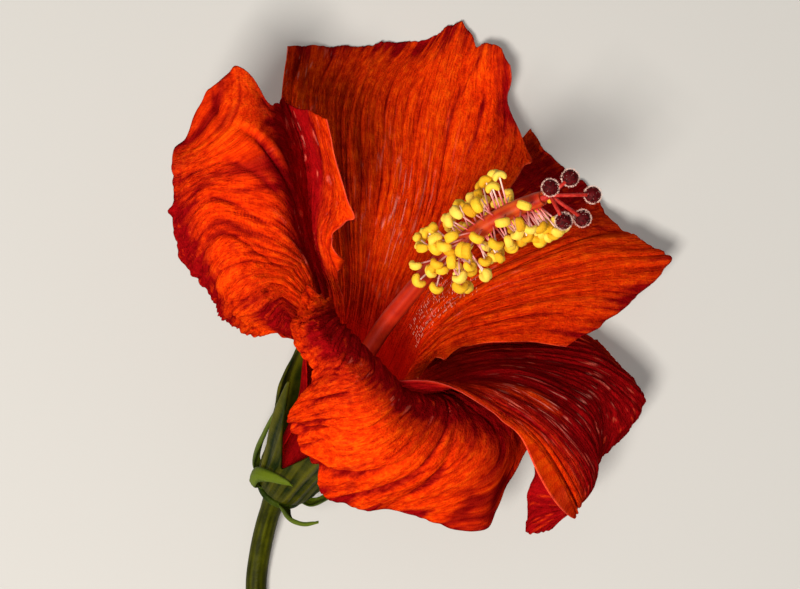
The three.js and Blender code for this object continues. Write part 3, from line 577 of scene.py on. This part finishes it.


# In the petals below, the dark patches listed are painted shade where a blade turns from the light, those
# below 0 lift it again as painted light, and the glints are painted highlights.
petal("petal_left", azimuth=178, waves=(3, 0.7, 0.1), frill=(3, 0.5, 0.55), seed=11,
      sharp=-0.9, sweep=(-0.3, 0.14, 0.38, 0.3),
      tip_teeth=[[0.43, 0.07, -0.20], [0.512, 0.014, 0.10], [0.405, 0.008, 0.12], [0.602, 0.010, 0.05],
                 [0.662, 0.012, 0.03], [0.70, 0.018, -0.30], [0.735, 0.04, -0.45], [0.3, 0.015, 0.03]],
      near_teeth=[[5.2, 0.2, 0.01]],
      far_teeth=[[5.88, 0.12, 0.03], [5.35, 0.18, -0.02], [4.85, 0.22, 0.12], [4.3, 0.15, -0.02]],
      folds=[[5.95, 0.665, -0.12, 0.35, 0.009, -0.9], [5.9, 0.69, -0.12, 0.3, 0.015, 0.7],
             [5.6, 0.42, -0.14, 0.9, 0.009, -0.5], [5.7, 0.51, -0.16, 0.6, 0.009, -0.5],
             [5.0, 0.35, -0.23, 0.7, 0.009, -0.5], [5.85, 0.60, -0.15, 0.4, 0.009, -0.4],
             [6.85, 0.60, 0.03, 0.25, 0.006, -0.4]],
      shade_patches=[[7.1, 0.28, 0.0, 0.62, 0.19, 2.6], [6.3, 0.80, 0.0, 1.5, 0.095, 2.0],
              [4.7, 0.78, 0.0, 0.9, 0.11, 1.6], [4.6, 0.12, 0.0, 0.75, 0.16, 1.7]],
      glints=[[6.2, 0.84, 0.0, 0.9, 0.09, 0.5], [5.0, 0.68, 0.0, 0.6, 0.04, 0.5]],
      rows=[
          [[-15.5, -8, 43], [-15, -6, 45], [-14.5, -3.5, 46], [-14.5, -1.5, 46], [-13.5, 1, 43],
           [-11.5, 0.5, 38], [-9, -0.5, 36]],
          [[-18, -6.5, 47], [-20, -3, 51], [-21, 1.5, 53], [-20.5, 5.5, 54], [-16, 8.5, 52],
           [-14, 9, 40], [-10.5, 6.5, 42]],
          [[-20, -6, 46], [-26, -1.5, 50], [-28.5, 7, 53], [-28.5, 16.5, 55], [-20, 22.5, 55],
           [-14.5, 20.5, 41], [-8, 14, 49]],
          [[-21.5, -6, 42], [-29, -2.5, 42], [-34.5, 7.5, 42], [-35.5, 21.5, 44], [-25, 35, 48],
           [-17, 29.5, 42], [-11, 27, 50]]])
petal("petal_upper", azimuth=250, waves=(3, 0.5, 0.2), frill=(3, 0.5, 0), seed=23,
      sharp=0.7, sweep=(0.0, 0.0, 0.5, 1.0),
      tip_teeth=[[0.2, 0.03, 0.02], [0.70, 0.02, 0.06], [0.80, 0.025, -0.12], [0.92, 0.05, 0.10]],
      near_teeth=[[5.2, 0.2, 0.01]], far_teeth=[[6.5, 0.28, -0.06], [6.02, 0.07, 0.02]],
      folds=[[5.0, 0.3, 0.0, 1.2, 0.03, -0.5], [6.4, 0.93, 0.0, 0.5, 0.02, -0.7],
             [5.4, 0.12, 0.0, 1.4, 0.02, -0.5], [6.6, 0.84, 0.05, 0.5, 0.02, 0.6]],
      shade_patches=[[7.15, 0.4, 0.0, 0.30, 0.45, 1.5], [6.45, 0.95, 0.0, 0.45, 0.03, 1.3],
              [5.2, 0.28, 0.0, 0.9, 0.04, 0.25]],
      glints=[[4.7, 0.62, 0.0, 0.7, 0.22, 0.9], [6.6, 0.06, 0.0, 0.7, 0.10, 0.7]],
      rows=[
          [[-13, -1, 28], [-10.5, 0.5, 26], [-7.5, 1.5, 24], [-5, 1.5, 23], [-2, 1, 23.5],
           [0.5, -0.5, 25], [3, -2, 27]],
          [[-16.5, 13, 20], [-12.5, 15.5, 17], [-8, 17, 15], [-2.5, 17.5, 14], [2.5, 16, 14.5],
           [7, 13.5, 16], [11, 9.5, 20]],
          [[-19.5, 29, 13], [-13.5, 31.5, 9.5], [-8, 33, 7], [-1.5, 33.5, 6], [5, 33, 6],
           [11.5, 30.5, 7.5], [21, 22.5, 10]],
          [[-19, 41.5, 6], [-12, 42, 1.5], [-3.5, 42, 0.3], [4, 43.5, 0.3], [9.5, 45.5, 0.6],
           [14, 42.5, 4], [19, 38, 8]]])
right_face = petal("petal_right", azimuth=322, waves=(3, 0.4, 0.5), frill=(4, 0.6, 0.3), seed=37,
                   sharp=0.5, sweep=(0.0, 0.0, 0.5, 1.0),
                   tip_teeth=[[0.3, 0.05, 0.03], [0.42, 0.035, -0.10], [0.66, 0.03, 0.03]],
                   near_teeth=[[5.2, 0.2, 0.01]],
                   far_teeth=[[4.05, 0.14, 0.05], [4.35, 0.10, 0.05], [4.62, 0.07, -0.02],
                              [4.85, 0.09, 0.035], [5.15, 0.1, -0.01]],
                   folds=[[5.9, 0.50, -0.04, 1.2, 0.012, -0.7], [5.9, 0.545, -0.04, 1.2, 0.018, 0.5],
                          [5.2, 0.88, 0.0, 0.7, 0.012, -0.5], [5.6, 0.78, 0.0, 0.8, 0.012, -0.4]],
                   shade_patches=[[6.2, 0.2, 0.05, 1.1, 0.22, 1.4], [7.1, 0.85, 0.0, 0.3, 0.2, 1.2]],
                   glints=[[4.7, 0.38, 0.0, 0.6, 0.25, 0.9]],
                   rows=[
                       [[-0.5, -1, 22], [2, -1.5, 23.5], [3.5, -3, 25.5], [4.5, -5, 28.5], [4.5, -7, 31.5],
                        [3.5, -9.5, 34], [1.5, -13.5, 37.5]],
                       [[6.5, 10, 12], [10, 8, 15], [12, 5.5, 20], [13.5, 2.5, 24.5], [13, -1, 27],
                        [11, -4.5, 29.5], [8.5, -9, 32]],
                       [[17, 22, 4.5], [21.5, 17.5, 7], [25, 13, 11.5], [28.5, 8.5, 17.5], [29.5, 3.5, 20.5],
                        [25.5, -1.5, 23.5], [17.5, -7.5, 27]],
                       [[22, 28, 0.7], [27.5, 21.5, 0.1], [33, 16.5, 2.6], [39, 9.5, 10.5], [44.5, 5.5, 12],
                        [37, -2, 16], [27, -8.5, 21]]])
petal("petal_lower", azimuth=34, waves=(3, 0.5, 0.2), frill=(3, 0.6, 0.2), seed=53,
      sharp=0.9, sweep=(0.0, 0.0, 0.5, 1.0),
      tip_teeth=[[0.3, 0.05, 0.02], [0.87, 0.08, 0.55]],
      near_teeth=[[5.2, 0.2, 0.01]], far_teeth=[[5.6, 0.15, 0.02], [6.35, 0.45, 0.12]],
      folds=[[5.0, 0.5, 0.0, 1.2, 0.03, 0.5], [6.4, 0.94, 0.0, 0.6, 0.03, -0.6]],
      shade_patches=[[6.0, 0.45, 0.0, 3.0, 0.62, 1.25], [5.35, 0.68, 0.0, 0.25, 0.05, -1.2],
              [6.5, 1.06, 0.0, 0.6, 0.13, -2.4], [7.9, 0.85, 0.0, 0.7, 0.4, 1.6]],
      glints=[[5.5, 0.6, 0.0, 0.5, 0.25, 1.0], [6.3, 0.5, 0.0, 0.5, 0.3, 0.6]],
      rows=[
          [[4, -10, 26], [5.5, -12.2, 32.5], [4.7, -14.7, 39.5], [2.4, -14.8, 44.6], [-0.6, -12.8, 49.2]],
          [[13, -6, 17], [17.5, -9.5, 26], [18, -12.5, 36], [15, -15, 45], [10.5, -16, 51]],
          [[26.5, -5, 12], [31, -11, 20], [29.5, -17, 30], [25.5, -21.5, 38], [20.5, -23, 42]],
          [[32, -7.5, 9], [39.5, -16.5, 17], [33, -23.5, 22], [31, -31, 26], [28, -35.5, 30]],
          [[32.5, -8, 5], [39, -17.5, 11], [32, -29.5, 15], [22.5, -38.5, 17], [23, -25.5, 27]]])
petal("petal_front", azimuth=100, waves=(5, 0.6, 0.3), frill=(1, 0.3, 0), seed=71,
      sharp=-0.9, sweep=(0.15, -0.045, 0.38, 0.26),
      tip_teeth=[[0.6, 0.02, 0.04], [0.545, 0.012, -0.12], [0.47, 0.012, -0.14], [0.43, 0.02, 0.08],
                 [0.72, 0.04, -0.22], [0.14, 0.02, 0.05]],
      near_teeth=[[5.2, 0.2, 0.01], [3.65, 0.35, 0.07]], far_teeth=[[5.6, 0.15, 0.02]],
      folds=[[6.8, 0.56, 0.085, 0.35, 0.009, -0.9], [6.4, 0.415, 0.14, 0.9, 0.010, -1.2],
             [6.4, 0.445, 0.14, 0.9, 0.016, 0.5], [6.3, 0.335, 0.115, 0.9, 0.009, -0.9],
             [6.1, 0.26, 0.08, 0.7, 0.009, -0.6], [5.8, 0.47, 0.11, 0.9, 0.009, -0.6],
             [6.2, 0.605, 0.035, 0.8, 0.009, -0.5], [6.9, 0.52, 0.1, 0.25, 0.009, -0.8],
             [4.3, 0.22, 0.0, 0.35, 0.12, 0.7]],
      shade_patches=[[5.4, 0.03, 0.0, 1.2, 0.11, 1.3], [4.2, 0.45, 0.0, 0.68, 0.5, 1.5],
              [4.9, 0.2, 0.0, 0.5, 0.14, 0.9], [7.2, 0.30, 0.0, 0.2, 0.26, 1.7],
              [5.9, 0.66, 0.0, 0.8, 0.13, 0.3],
              [5.2, 0.80, 0.0, 0.75, 0.12, 1.5], [6.9, 0.85, 0.0, 0.4, 0.1, 0.5]],
      glints=[[4.9, 0.40, 0.0, 0.15, 0.35, 0.4]],
      rows=[
          [[7, -14.8, 35.5], [3.5, -16, 42], [-0.5, -14.7, 48], [-4, -10.5, 52], [-6.5, -7.5, 53],
           [-8.5, -5.5, 53], [-10, -3.5, 51], [-11, -1.5, 47]],
          [[13, -16.5, 38], [9, -18.5, 45], [3, -19, 52], [-2.5, -16, 58], [-6.5, -12.5, 61],
           [-9.5, -8, 61], [-12, -4, 58], [-11.5, -1, 52]],
          [[18.5, -19.5, 34], [14.5, -26, 42], [3, -28, 48], [-6, -24, 53], [-10.5, -16.5, 57],
           [-12, -10, 59], [-14.5, -4.5, 58], [-12.5, 0, 53]],
          [[21, -23.5, 28], [14.5, -37.5, 24], [1.5, -35.5, 26], [-11.5, -31.5, 30], [-17, -20.5, 44],
           [-14, -12, 55], [-16.5, -4, 52], [-13.5, 1, 50]]])

# ---------------------------------------------------------------- throat hairs
# Short pale hairs stand in rows along the veins of the right petal, just beyond the throat, where
# they grow out of its skin. All lean the same way.

THROAT_HAIRS = 340
HAIR_LENGTH = 0.4
HAIR_WIDTH = 0.032
HAIR_TAPER = [1, 0.9, 0.6, 0.15]
HAIR_LEAN = np.array([0.2, 1.1, 0])
HAIRY_FROM, HAIRY_ROWS = 42, 40
FIRST_VEIN, VEIN_STEP, VEIN_COUNT, VEIN_BREADTH = 44, 6, 18, 3


def hairs(feet, ends, width):
    """Thin hairs as three-sided spikes: straight lines from their feet to their ends, the width
    tapered along them, closed at both."""
    t = np.linspace(0, 1, len(HAIR_TAPER))[:, None]
    line = feet[:, None] * (1 - t) + ends[:, None] * t
    radii = width * np.broadcast_to(HAIR_TAPER, line.shape[:2])
    return capped_tubes(tube_grid(line, radii, 3, unit(np.array([0.31, 0.52, -0.8]))))


hair_skin, add, finish = new_material("hair_skin")
finish(Base_Color=(0.72, 0.32, 0.24, 1), Roughness=0.5, Specular_IOR_Level=0.2)
chance = np.random.default_rng(41)
row = (HAIRY_FROM + HAIRY_ROWS * chance.random(THROAT_HAIRS) ** 1.3).astype(int)
column = FIRST_VEIN + VEIN_STEP * chance.integers(0, VEIN_COUNT, THROAT_HAIRS)
column = column + chance.integers(0, VEIN_BREADTH, THROAT_HAIRS)
feet = right_face[row, column]
lift = facing(right_face)[row, column] + HAIR_LEAN + 0.5 * (chance.random((THROAT_HAIRS, 3)) - 0.5)
points, faces = hairs(feet, feet + HAIR_LENGTH * unit(lift), HAIR_WIDTH)
new_piece("throat_hairs", points, faces, hair_skin, "petal", "petal_right")

# ---------------------------------------------------------------- staminal column
# The stamens are grown together into a red tube that leaves the receptacle along the axis and leans
# over beyond the throat. Along its last third it lets go of a hundred pale filaments, crowded at its
# two sides, each with a yellow kidney-shaped anther astride its tip.

COLUMN_HEIGHTS = [1.3, 4, 9, 16, 24]
COLUMN_LINE = [[-6, -10.5, 32.5], [-2.5, -5, 38], [1.5, 0, 43], [5, 4, 47], [9, 7.5, 50.5],
               [13, 10.5, 54], [17.5, 13, 57], [21.5, 14.5, 60]]
COLUMN_OUTER = np.array([2.35, 2.25, 1.75, 1.5, 1.5, 1.45, 1.45, 1.4, 1.4, 1.35, 1.3, 1.2])
COLUMN_BORE = np.array([1.75, 1.65, 1.1, 0.92, 0.92, 0.92, 0.92, 0.92, 0.92, 0.9, 0.88, 0.85])
COLUMN_STEPS = 160
COLUMN_SIDES = 40
STAMEN_COUNT = 104
STAMEN_FIRST, STAMEN_LAST = 0.695, 0.985
GOLDEN_ANGLE = 2.39996
ONE_SIDED_FROM = 0.72
FILAMENT_FOOT = 1.15
FILAMENT_SHORTEST, FILAMENT_LONGEST = 3.0, 4.9
FILAMENT_STEPS, FILAMENT_SIDES = 9, 6
FILAMENT_RADIUS, FILAMENT_ROOT_RADIUS = 0.13, 0.2
ANTHER_HALF_ARC = 118
ANTHER_ARC_RADIUS = 0.78
ANTHER_HALF_THICKNESS = 0.62
STAMEN_SEED = 20

column_points = np.concatenate([round_axis(0, COLUMN_HEIGHTS, 0), COLUMN_LINE])


def column_at(part):
    """Point of the column's middle line, the smooth curve through its points, at a part from 0 to 1."""
    return through(column_points, np.asarray(part) * (len(column_points) - 1))


def sized(values, part):
    """A size along the column: the smooth curve through the values, evenly numbered from 0 to 1."""
    return through(values[:, None], np.asarray(part) * (len(values) - 1))[..., 0]


def column_skin():
    """The column's skin: a satin orange-red, deeper in streaks along it, paler towards its end."""
    material, add, finish = new_material("column_skin")
    place = add("TexCoord").outputs["Object"]
    end = add("Attribute", {"attribute_name": "end"}).outputs["Fac"]
    streak = add("Attribute", {"attribute_name": "streak"}).outputs["Fac"]
    blotch = add("TexNoise", inputs={"Vector": place, "Scale": 420, "Detail": 4}).outputs["Fac"]
    tone = add("Math", {"operation": "MULTIPLY_ADD"}, {0: streak, 1: 0.25, 2: blotch}).outputs[0]
    foot = colours(add, tone, (0.2, (0.22, 0.003, 0.002)), (0.8, (0.42, 0.02, 0.004)))
    crown = colours(add, tone, (0.2, (0.34, 0.012, 0.005)), (0.8, (0.50, 0.075, 0.010)))
    mix = add("Mix", {"data_type": "RGBA"}, {0: end, 6: foot, 7: crown})
    bump = add("Bump", inputs={"Strength": 0.4, "Distance": 0.0002, "Height": blotch})
    finish(Base_Color=mix.outputs[2], Roughness=0.45, Normal=bump.outputs["Normal"],
           Specular_IOR_Level=0.12, Subsurface_Weight=0.1, Subsurface_Radius=(0.002, 0.0004, 0.0002),
           Subsurface_Scale=0.5)
    return material


part = np.linspace(0, 1, COLUMN_STEPS)
turn = np.linspace(0, 1, COLUMN_SIDES, endpoint=False)
streak = wander(part[:, None], turn, 10, 20, 5)
line = column_at(part)
rounding = 1 - 0.12 * smooth(part * 60 - 59)
outside = sized(COLUMN_OUTER, part)[:, None] * (1 + 0.02 * streak) * rounding[:, None]
walls = np.concatenate([tube_grid(line, outside, COLUMN_SIDES, SIDE),
                        tube_grid(line, sized(COLUMN_BORE, part), COLUMN_SIDES, SIDE)[::-1]])
faces = grid_faces(2 * COLUMN_STEPS + 1, COLUMN_SIDES, True) % (2 * COLUMN_STEPS * COLUMN_SIDES)
end = np.broadcast_to(smooth((part[:, None] - 0.55) * 2.6), streak.shape)
new_piece("staminal_column", walls, faces, column_skin(), "stamens", "stamens",
          end=np.concatenate([end, end[::-1]]), streak=np.concatenate([streak, streak[::-1]]))

# The filaments leave one after another by the golden angle, drawn to the column's two sides more and
# more towards its end, where the last ones keep to one side.
chance = np.random.default_rng(STAMEN_SEED)
number = np.arange(STAMEN_COUNT)
share = ((number + chance.random(STAMEN_COUNT)) / STAMEN_COUNT) ** 1.2
root_part = STAMEN_FIRST + (STAMEN_LAST - STAMEN_FIRST) * share
root = column_at(root_part)
tangent = unit(column_at(np.minimum(root_part + 0.01, 1)) - column_at(root_part - 0.01))
above = unit(np.array([0, 0, 1.0]) - tangent * tangent[:, 2:])
flank = np.cross(tangent, above)
even = number * GOLDEN_ANGLE + 0.5 * (chance.random(STAMEN_COUNT) - 0.5)
angle = even + (0.85 * smooth(share * 2.6 - 1.0) - 0.25) * np.sin(2 * even)
angle = np.mod(angle + np.pi, 2 * np.pi) - np.pi
angle = np.where(share > ONE_SIDED_FROM, np.abs(angle), angle)[:, None]
radial = above * np.cos(angle) + flank * np.sin(angle)
lean = (-0.35 + 0.75 * share + 0.3 * (chance.random(STAMEN_COUNT) - 0.5))[:, None]
direction = unit(radial + tangent * lean)
length = (FILAMENT_LONGEST - FILAMENT_SHORTEST) * chance.random(STAMEN_COUNT)[:, None]
length = FILAMENT_SHORTEST + length
start = root + radial * FILAMENT_FOOT
tip = start + direction * length


def filament_skin():
    """A filament: glassy pinkish white, red at its root."""
    material, add, finish = new_material("filament_skin")
    out = add("Attribute", {"attribute_name": "out"}).outputs["Fac"]
    tone = colours(add, out, (0.05, (0.50, 0.02, 0.02)), (0.45, (0.78, 0.32, 0.30)),
                   (0.9, (0.85, 0.62, 0.52)))
    finish(Base_Color=tone, Roughness=0.35)
    return material


t = np.linspace(0, 1, FILAMENT_STEPS)[None, :, None]
sag = 0.5 * np.sin(np.pi * t) * np.array([0, 0, 1.0])
thread = start[:, None] * (1 - t) + tip[:, None] * t - sag * (length[:, None] * 0.16)
thin = np.full((STAMEN_COUNT, FILAMENT_STEPS), FILAMENT_RADIUS)
thin[:, 0] = FILAMENT_ROOT_RADIUS
rings = tube_grid(thread, thin, FILAMENT_SIDES, unit(np.array([0.5, -0.7, 0.3])))
points, faces = capped_tubes(rings)
new_piece("filaments", points, faces, filament_skin(), "stamens", "stamens",
          out=np.broadcast_to(t, rings.shape[:3]).astype(float))


def anther_shape(steps, sides):
    """A kidney: a sausage bent along an arc, its ends rounded and a seam pressed in along its outer
    side, with the filament's tip near the arc's middle."""
    along = np.linspace(-1, 1, steps)[:, None]
    turn = np.linspace(0, 2 * np.pi, sides, endpoint=False)
    bend = np.radians(ANTHER_HALF_ARC) * along
    round_end = np.sqrt(np.maximum(1 - np.abs(along) ** 3.2, 0.002))
    seam = 1 - 0.22 * np.exp(-((np.mod(turn + np.pi, 2 * np.pi) - np.pi) / 0.35) ** 2)
    radius = ANTHER_HALF_THICKNESS * round_end * seam
    out = ANTHER_ARC_RADIUS + radius * np.cos(turn)
    return np.stack([out * np.sin(bend), out * np.cos(bend) - 0.2, 1.15 * radius * np.sin(turn)], -1)


def pollen_skin():
    """Anthers: golden yellow, some paler, with a mealy coat of round pollen grains."""
    material, add, finish = new_material("pollen_skin")
    place = add("TexCoord").outputs["Object"]
    ripe = add("Attribute", {"attribute_name": "ripe"}).outputs["Fac"]
    grains = add("TexVoronoi", inputs={"Vector": place, "Scale": 6500}).outputs["Distance"]
    blotch = add("TexNoise", inputs={"Vector": place, "Scale": 900, "Detail": 3}).outputs["Fac"]
    tone = add("Math", {"operation": "MULTIPLY_ADD"}, {0: blotch, 1: 0.45, 2: ripe}).outputs[0]
    colour = colours(add, tone, (0.1, (0.84, 0.62, 0.11)), (0.6, (0.80, 0.46, 0.02)),
                     (1.0, (0.60, 0.28, 0.006)))
    bump = add("Bump", {"invert": True}, {"Strength": 0.6, "Distance": 0.0001, "Height": grains})
    finish(Base_Color=colour, Roughness=0.6, Normal=bump.outputs["Normal"], Specular_IOR_Level=0.1,
           Subsurface_Weight=0.05, Subsurface_Radius=(0.001, 0.0006, 0.0002), Subsurface_Scale=0.4)
    return material


chance.random(STAMEN_COUNT)  # passed over, so that the anthers keep the tilts chosen for them
loose = unit(direction + 0.5 * (chance.random((STAMEN_COUNT, 3)) - 0.5))
side = unit(np.cross(loose, unit(chance.random((STAMEN_COUNT, 3)) - 0.5)))
other = np.cross(side, loose)
frames = np.stack([side, loose, other], 1)
shape = anther_shape(18, 12)
size = 0.88 + 0.24 * chance.random(STAMEN_COUNT)
kidneys = np.einsum("ijk,nkx->nijx", shape, frames) * size[:, None, None, None] + tip[:, None, None]
points, faces = capped_tubes(kidneys)
ripe = np.broadcast_to(0.75 * chance.random(STAMEN_COUNT)[:, None, None], kidneys.shape[:3])
new_piece("anthers", points, faces, pollen_skin(), "stamens", "stamens", ripe=ripe.astype(float))

# ---------------------------------------------------------------- pistil
# The style runs up the column's bore from the ovary and parts beyond its end into five short
# branches. Each carries a round stigma, a dark red velvety head with a coat of pale bristles.

STIGMAS = np.array([[22.5, 16, 62.5], [25.5, 17.5, 62], [29, 15, 60], [24.5, 11, 62], [27.5, 11.5, 59]])
STIGMA_RADIUS = 1.35
HEAD_STEPS, HEAD_SIDES = 22, 36
HEAD_FLATTENING = 0.8
BRANCH_RADIUS = 0.3
BRANCH_RISE = 1.1
BRANCH_STEPS, BRANCH_SIDES = 24, 12
STYLE_STEPS, STYLE_SIDES = 120, 16
STYLE_PARTS, STYLE_RADII = [0, 0.07, 0.13, 1], [1.1, 1.2, 0.65, 0.5]
BRISTLES = 260
BRISTLE_WIDTH = 0.028


def velvet(name, dark, light, roughness):
    """A velvety skin: a colour broken by a fine grain, which is also pressed in it."""
    material, add, finish = new_material(name)
    place = add("TexCoord").outputs["Object"]
    grain = add("TexNoise", inputs={"Vector": place, "Scale": 2400, "Detail": 3}).outputs["Fac"]
    bump = add("Bump", inputs={"Strength": 0.7, "Distance": 0.0002, "Height": grain})
    finish(Base_Color=colours(add, grain, (0.3, dark), (0.75, light)), Roughness=roughness,
           Normal=bump.outputs["Normal"], Specular_IOR_Level=0.08)
    return material


column_end = column_at(1.0)
leaving = unit(column_end - column_at(0.97))
past = column_end + 1.2 * leaving
style_skin = velvet("style_skin", (0.30, 0.006, 0.006), (0.52, 0.04, 0.025), 0.4)
style_part = np.linspace(0, 1, STYLE_STEPS)
style_line = np.concatenate([column_at(style_part), past[None]])
style_radii = np.append(np.interp(style_part, STYLE_PARTS, STYLE_RADII), STYLE_RADII[-1])
points, faces = capped_tubes(tube_grid(style_line, style_radii, STYLE_SIDES, SIDE))
new_piece("style", points, faces, style_skin, "pistil", "pistil")

middle = (past + STIGMAS) / 2 + np.array([0, 0, BRANCH_RISE])
guide = np.stack([np.broadcast_to(column_end, STIGMAS.shape), np.broadcast_to(past, STIGMAS.shape),
                  middle, STIGMAS], 1)
shares = spline_shares(guide.shape[1], np.linspace(0, guide.shape[1] - 1, BRANCH_STEPS))
branches = np.einsum("tk,nkx->ntx", shares, guide)
radii = np.full(branches.shape[:2], BRANCH_RADIUS)
points, faces = capped_tubes(tube_grid(branches, radii, BRANCH_SIDES, unit(np.array([0.4, -0.6, 0.7]))))
new_piece("style_branches", points, faces, style_skin, "pistil", "pistil")

# The heads are flattened balls, a little bumpy, with their poles along the vertical.
polar = np.linspace(0.02, np.pi - 0.02, HEAD_STEPS)[:, None]
turn = np.linspace(0, 2 * np.pi, HEAD_SIDES, endpoint=False)
upright = np.broadcast_to(HEAD_FLATTENING * np.cos(polar), (HEAD_STEPS, HEAD_SIDES))
ball = np.stack([np.sin(polar) * np.cos(turn), np.sin(polar) * np.sin(turn), upright], -1)
bumpy = 1 + 0.05 * wander(polar / np.pi, turn / 2 / np.pi, 12, 18, 9)
heads = STIGMAS[:, None, None] + STIGMA_RADIUS * 0.93 * ball * bumpy[..., None]
points, faces = capped_tubes(heads[:, ::-1])
stigma_velvet = velvet("stigma_velvet", (0.012, 0.0003, 0.0006), (0.11, 0.002, 0.004), 0.6)
new_piece("stigmas", points, faces, stigma_velvet, "pistil", "pistil")

# The bristles stand all round each head, most of them near its equator.
chance = np.random.default_rng(31)
home = np.repeat(STIGMAS, BRISTLES, 0)
way = unit(chance.normal(size=home.shape) * [1, 1, 0.3])
feet = home + way * STIGMA_RADIUS * [0.9, 0.9, 0.72]
reached = 1.04 + 0.12 * chance.random((len(home), 1))
ends = home + way * STIGMA_RADIUS * reached * [1, 1, 0.85]
points, faces = hairs(feet, ends, BRISTLE_WIDTH)
bristle_skin = velvet("bristle_skin", (0.75, 0.42, 0.36), (0.90, 0.68, 0.58), 0.4)
new_piece("stigma_bristles", points, faces, bristle_skin, "pistil", "pistil")

# ---------------------------------------------------------------- table, light and camera
# A pale plain table. A soft lamp stands nearly overhead, a little to the left; a weaker one stands
# low at the left and throws no shadow, and a faint wide one fills in from above. The camera looks
# straight down.

TABLE_HALF_SIDE = 1.5
CAMERA_HEIGHT = 0.53
CAMERA_LENS = 140.6
SENSOR_WIDTH = 36

material, add, finish = new_material("table_top")
finish(Base_Color=(0.45, 0.45, 0.44, 1), Roughness=0.7)
mesh = bpy.data.meshes.new("table")
corners = [(x * TABLE_HALF_SIDE, y * TABLE_HALF_SIDE, 0) for x, y in ((-1, -1), (1, -1), (1, 1), (-1, 1))]
mesh.from_pydata(corners, [], [(0, 1, 2, 3)])
mesh.materials.append(material)
table = bpy.data.objects.new("table", mesh)
bpy.context.scene.collection.objects.link(table)


def lamp(name, place, size, power, colour, shadow=True):
    """A square soft lamp at a place in metres, turned to the flower's middle."""
    light = bpy.data.lights.new(name, "AREA")
    light.size, light.energy, light.color, light.use_shadow = size, power, colour, shadow
    holder = bpy.data.objects.new(name, light)
    holder.location = place
    aim = unit(np.array([0, 0, 0.03]) - np.array(place))
    holder.rotation_euler = Vector(aim).to_track_quat("-Z", "Y").to_euler()
    bpy.context.scene.collection.objects.link(holder)


lamp("window_light", (-0.16, -0.2, 0.95), 0.2, 10.6, (1.0, 0.94, 0.86))
lamp("side_light", (-0.62, -0.42, 0.55), 0.25, 5.7, (1.0, 0.93, 0.84), shadow=False)
lamp("ceiling_light", (0.3, 0.35, 1.0), 0.9, 0.8, (0.95, 0.97, 1.0))
world = bpy.data.worlds.new("room")
world.use_nodes = True
world.node_tree.nodes["Background"].inputs["Color"].default_value = (0.9, 0.93, 1.0, 1)
world.node_tree.nodes["Background"].inputs["Strength"].default_value = 0.12
bpy.context.scene.world = world
bpy.context.scene.view_settings.view_transform = "Standard"

camera = bpy.data.objects.new("camera", bpy.data.cameras.new("camera"))
camera.data.sensor_width = SENSOR_WIDTH
camera.data.lens = CAMERA_LENS
camera.location = (*placed(np.zeros(3))[:2], CAMERA_HEIGHT)
bpy.context.scene.collection.objects.link(camera)
bpy.context.scene.camera = camera
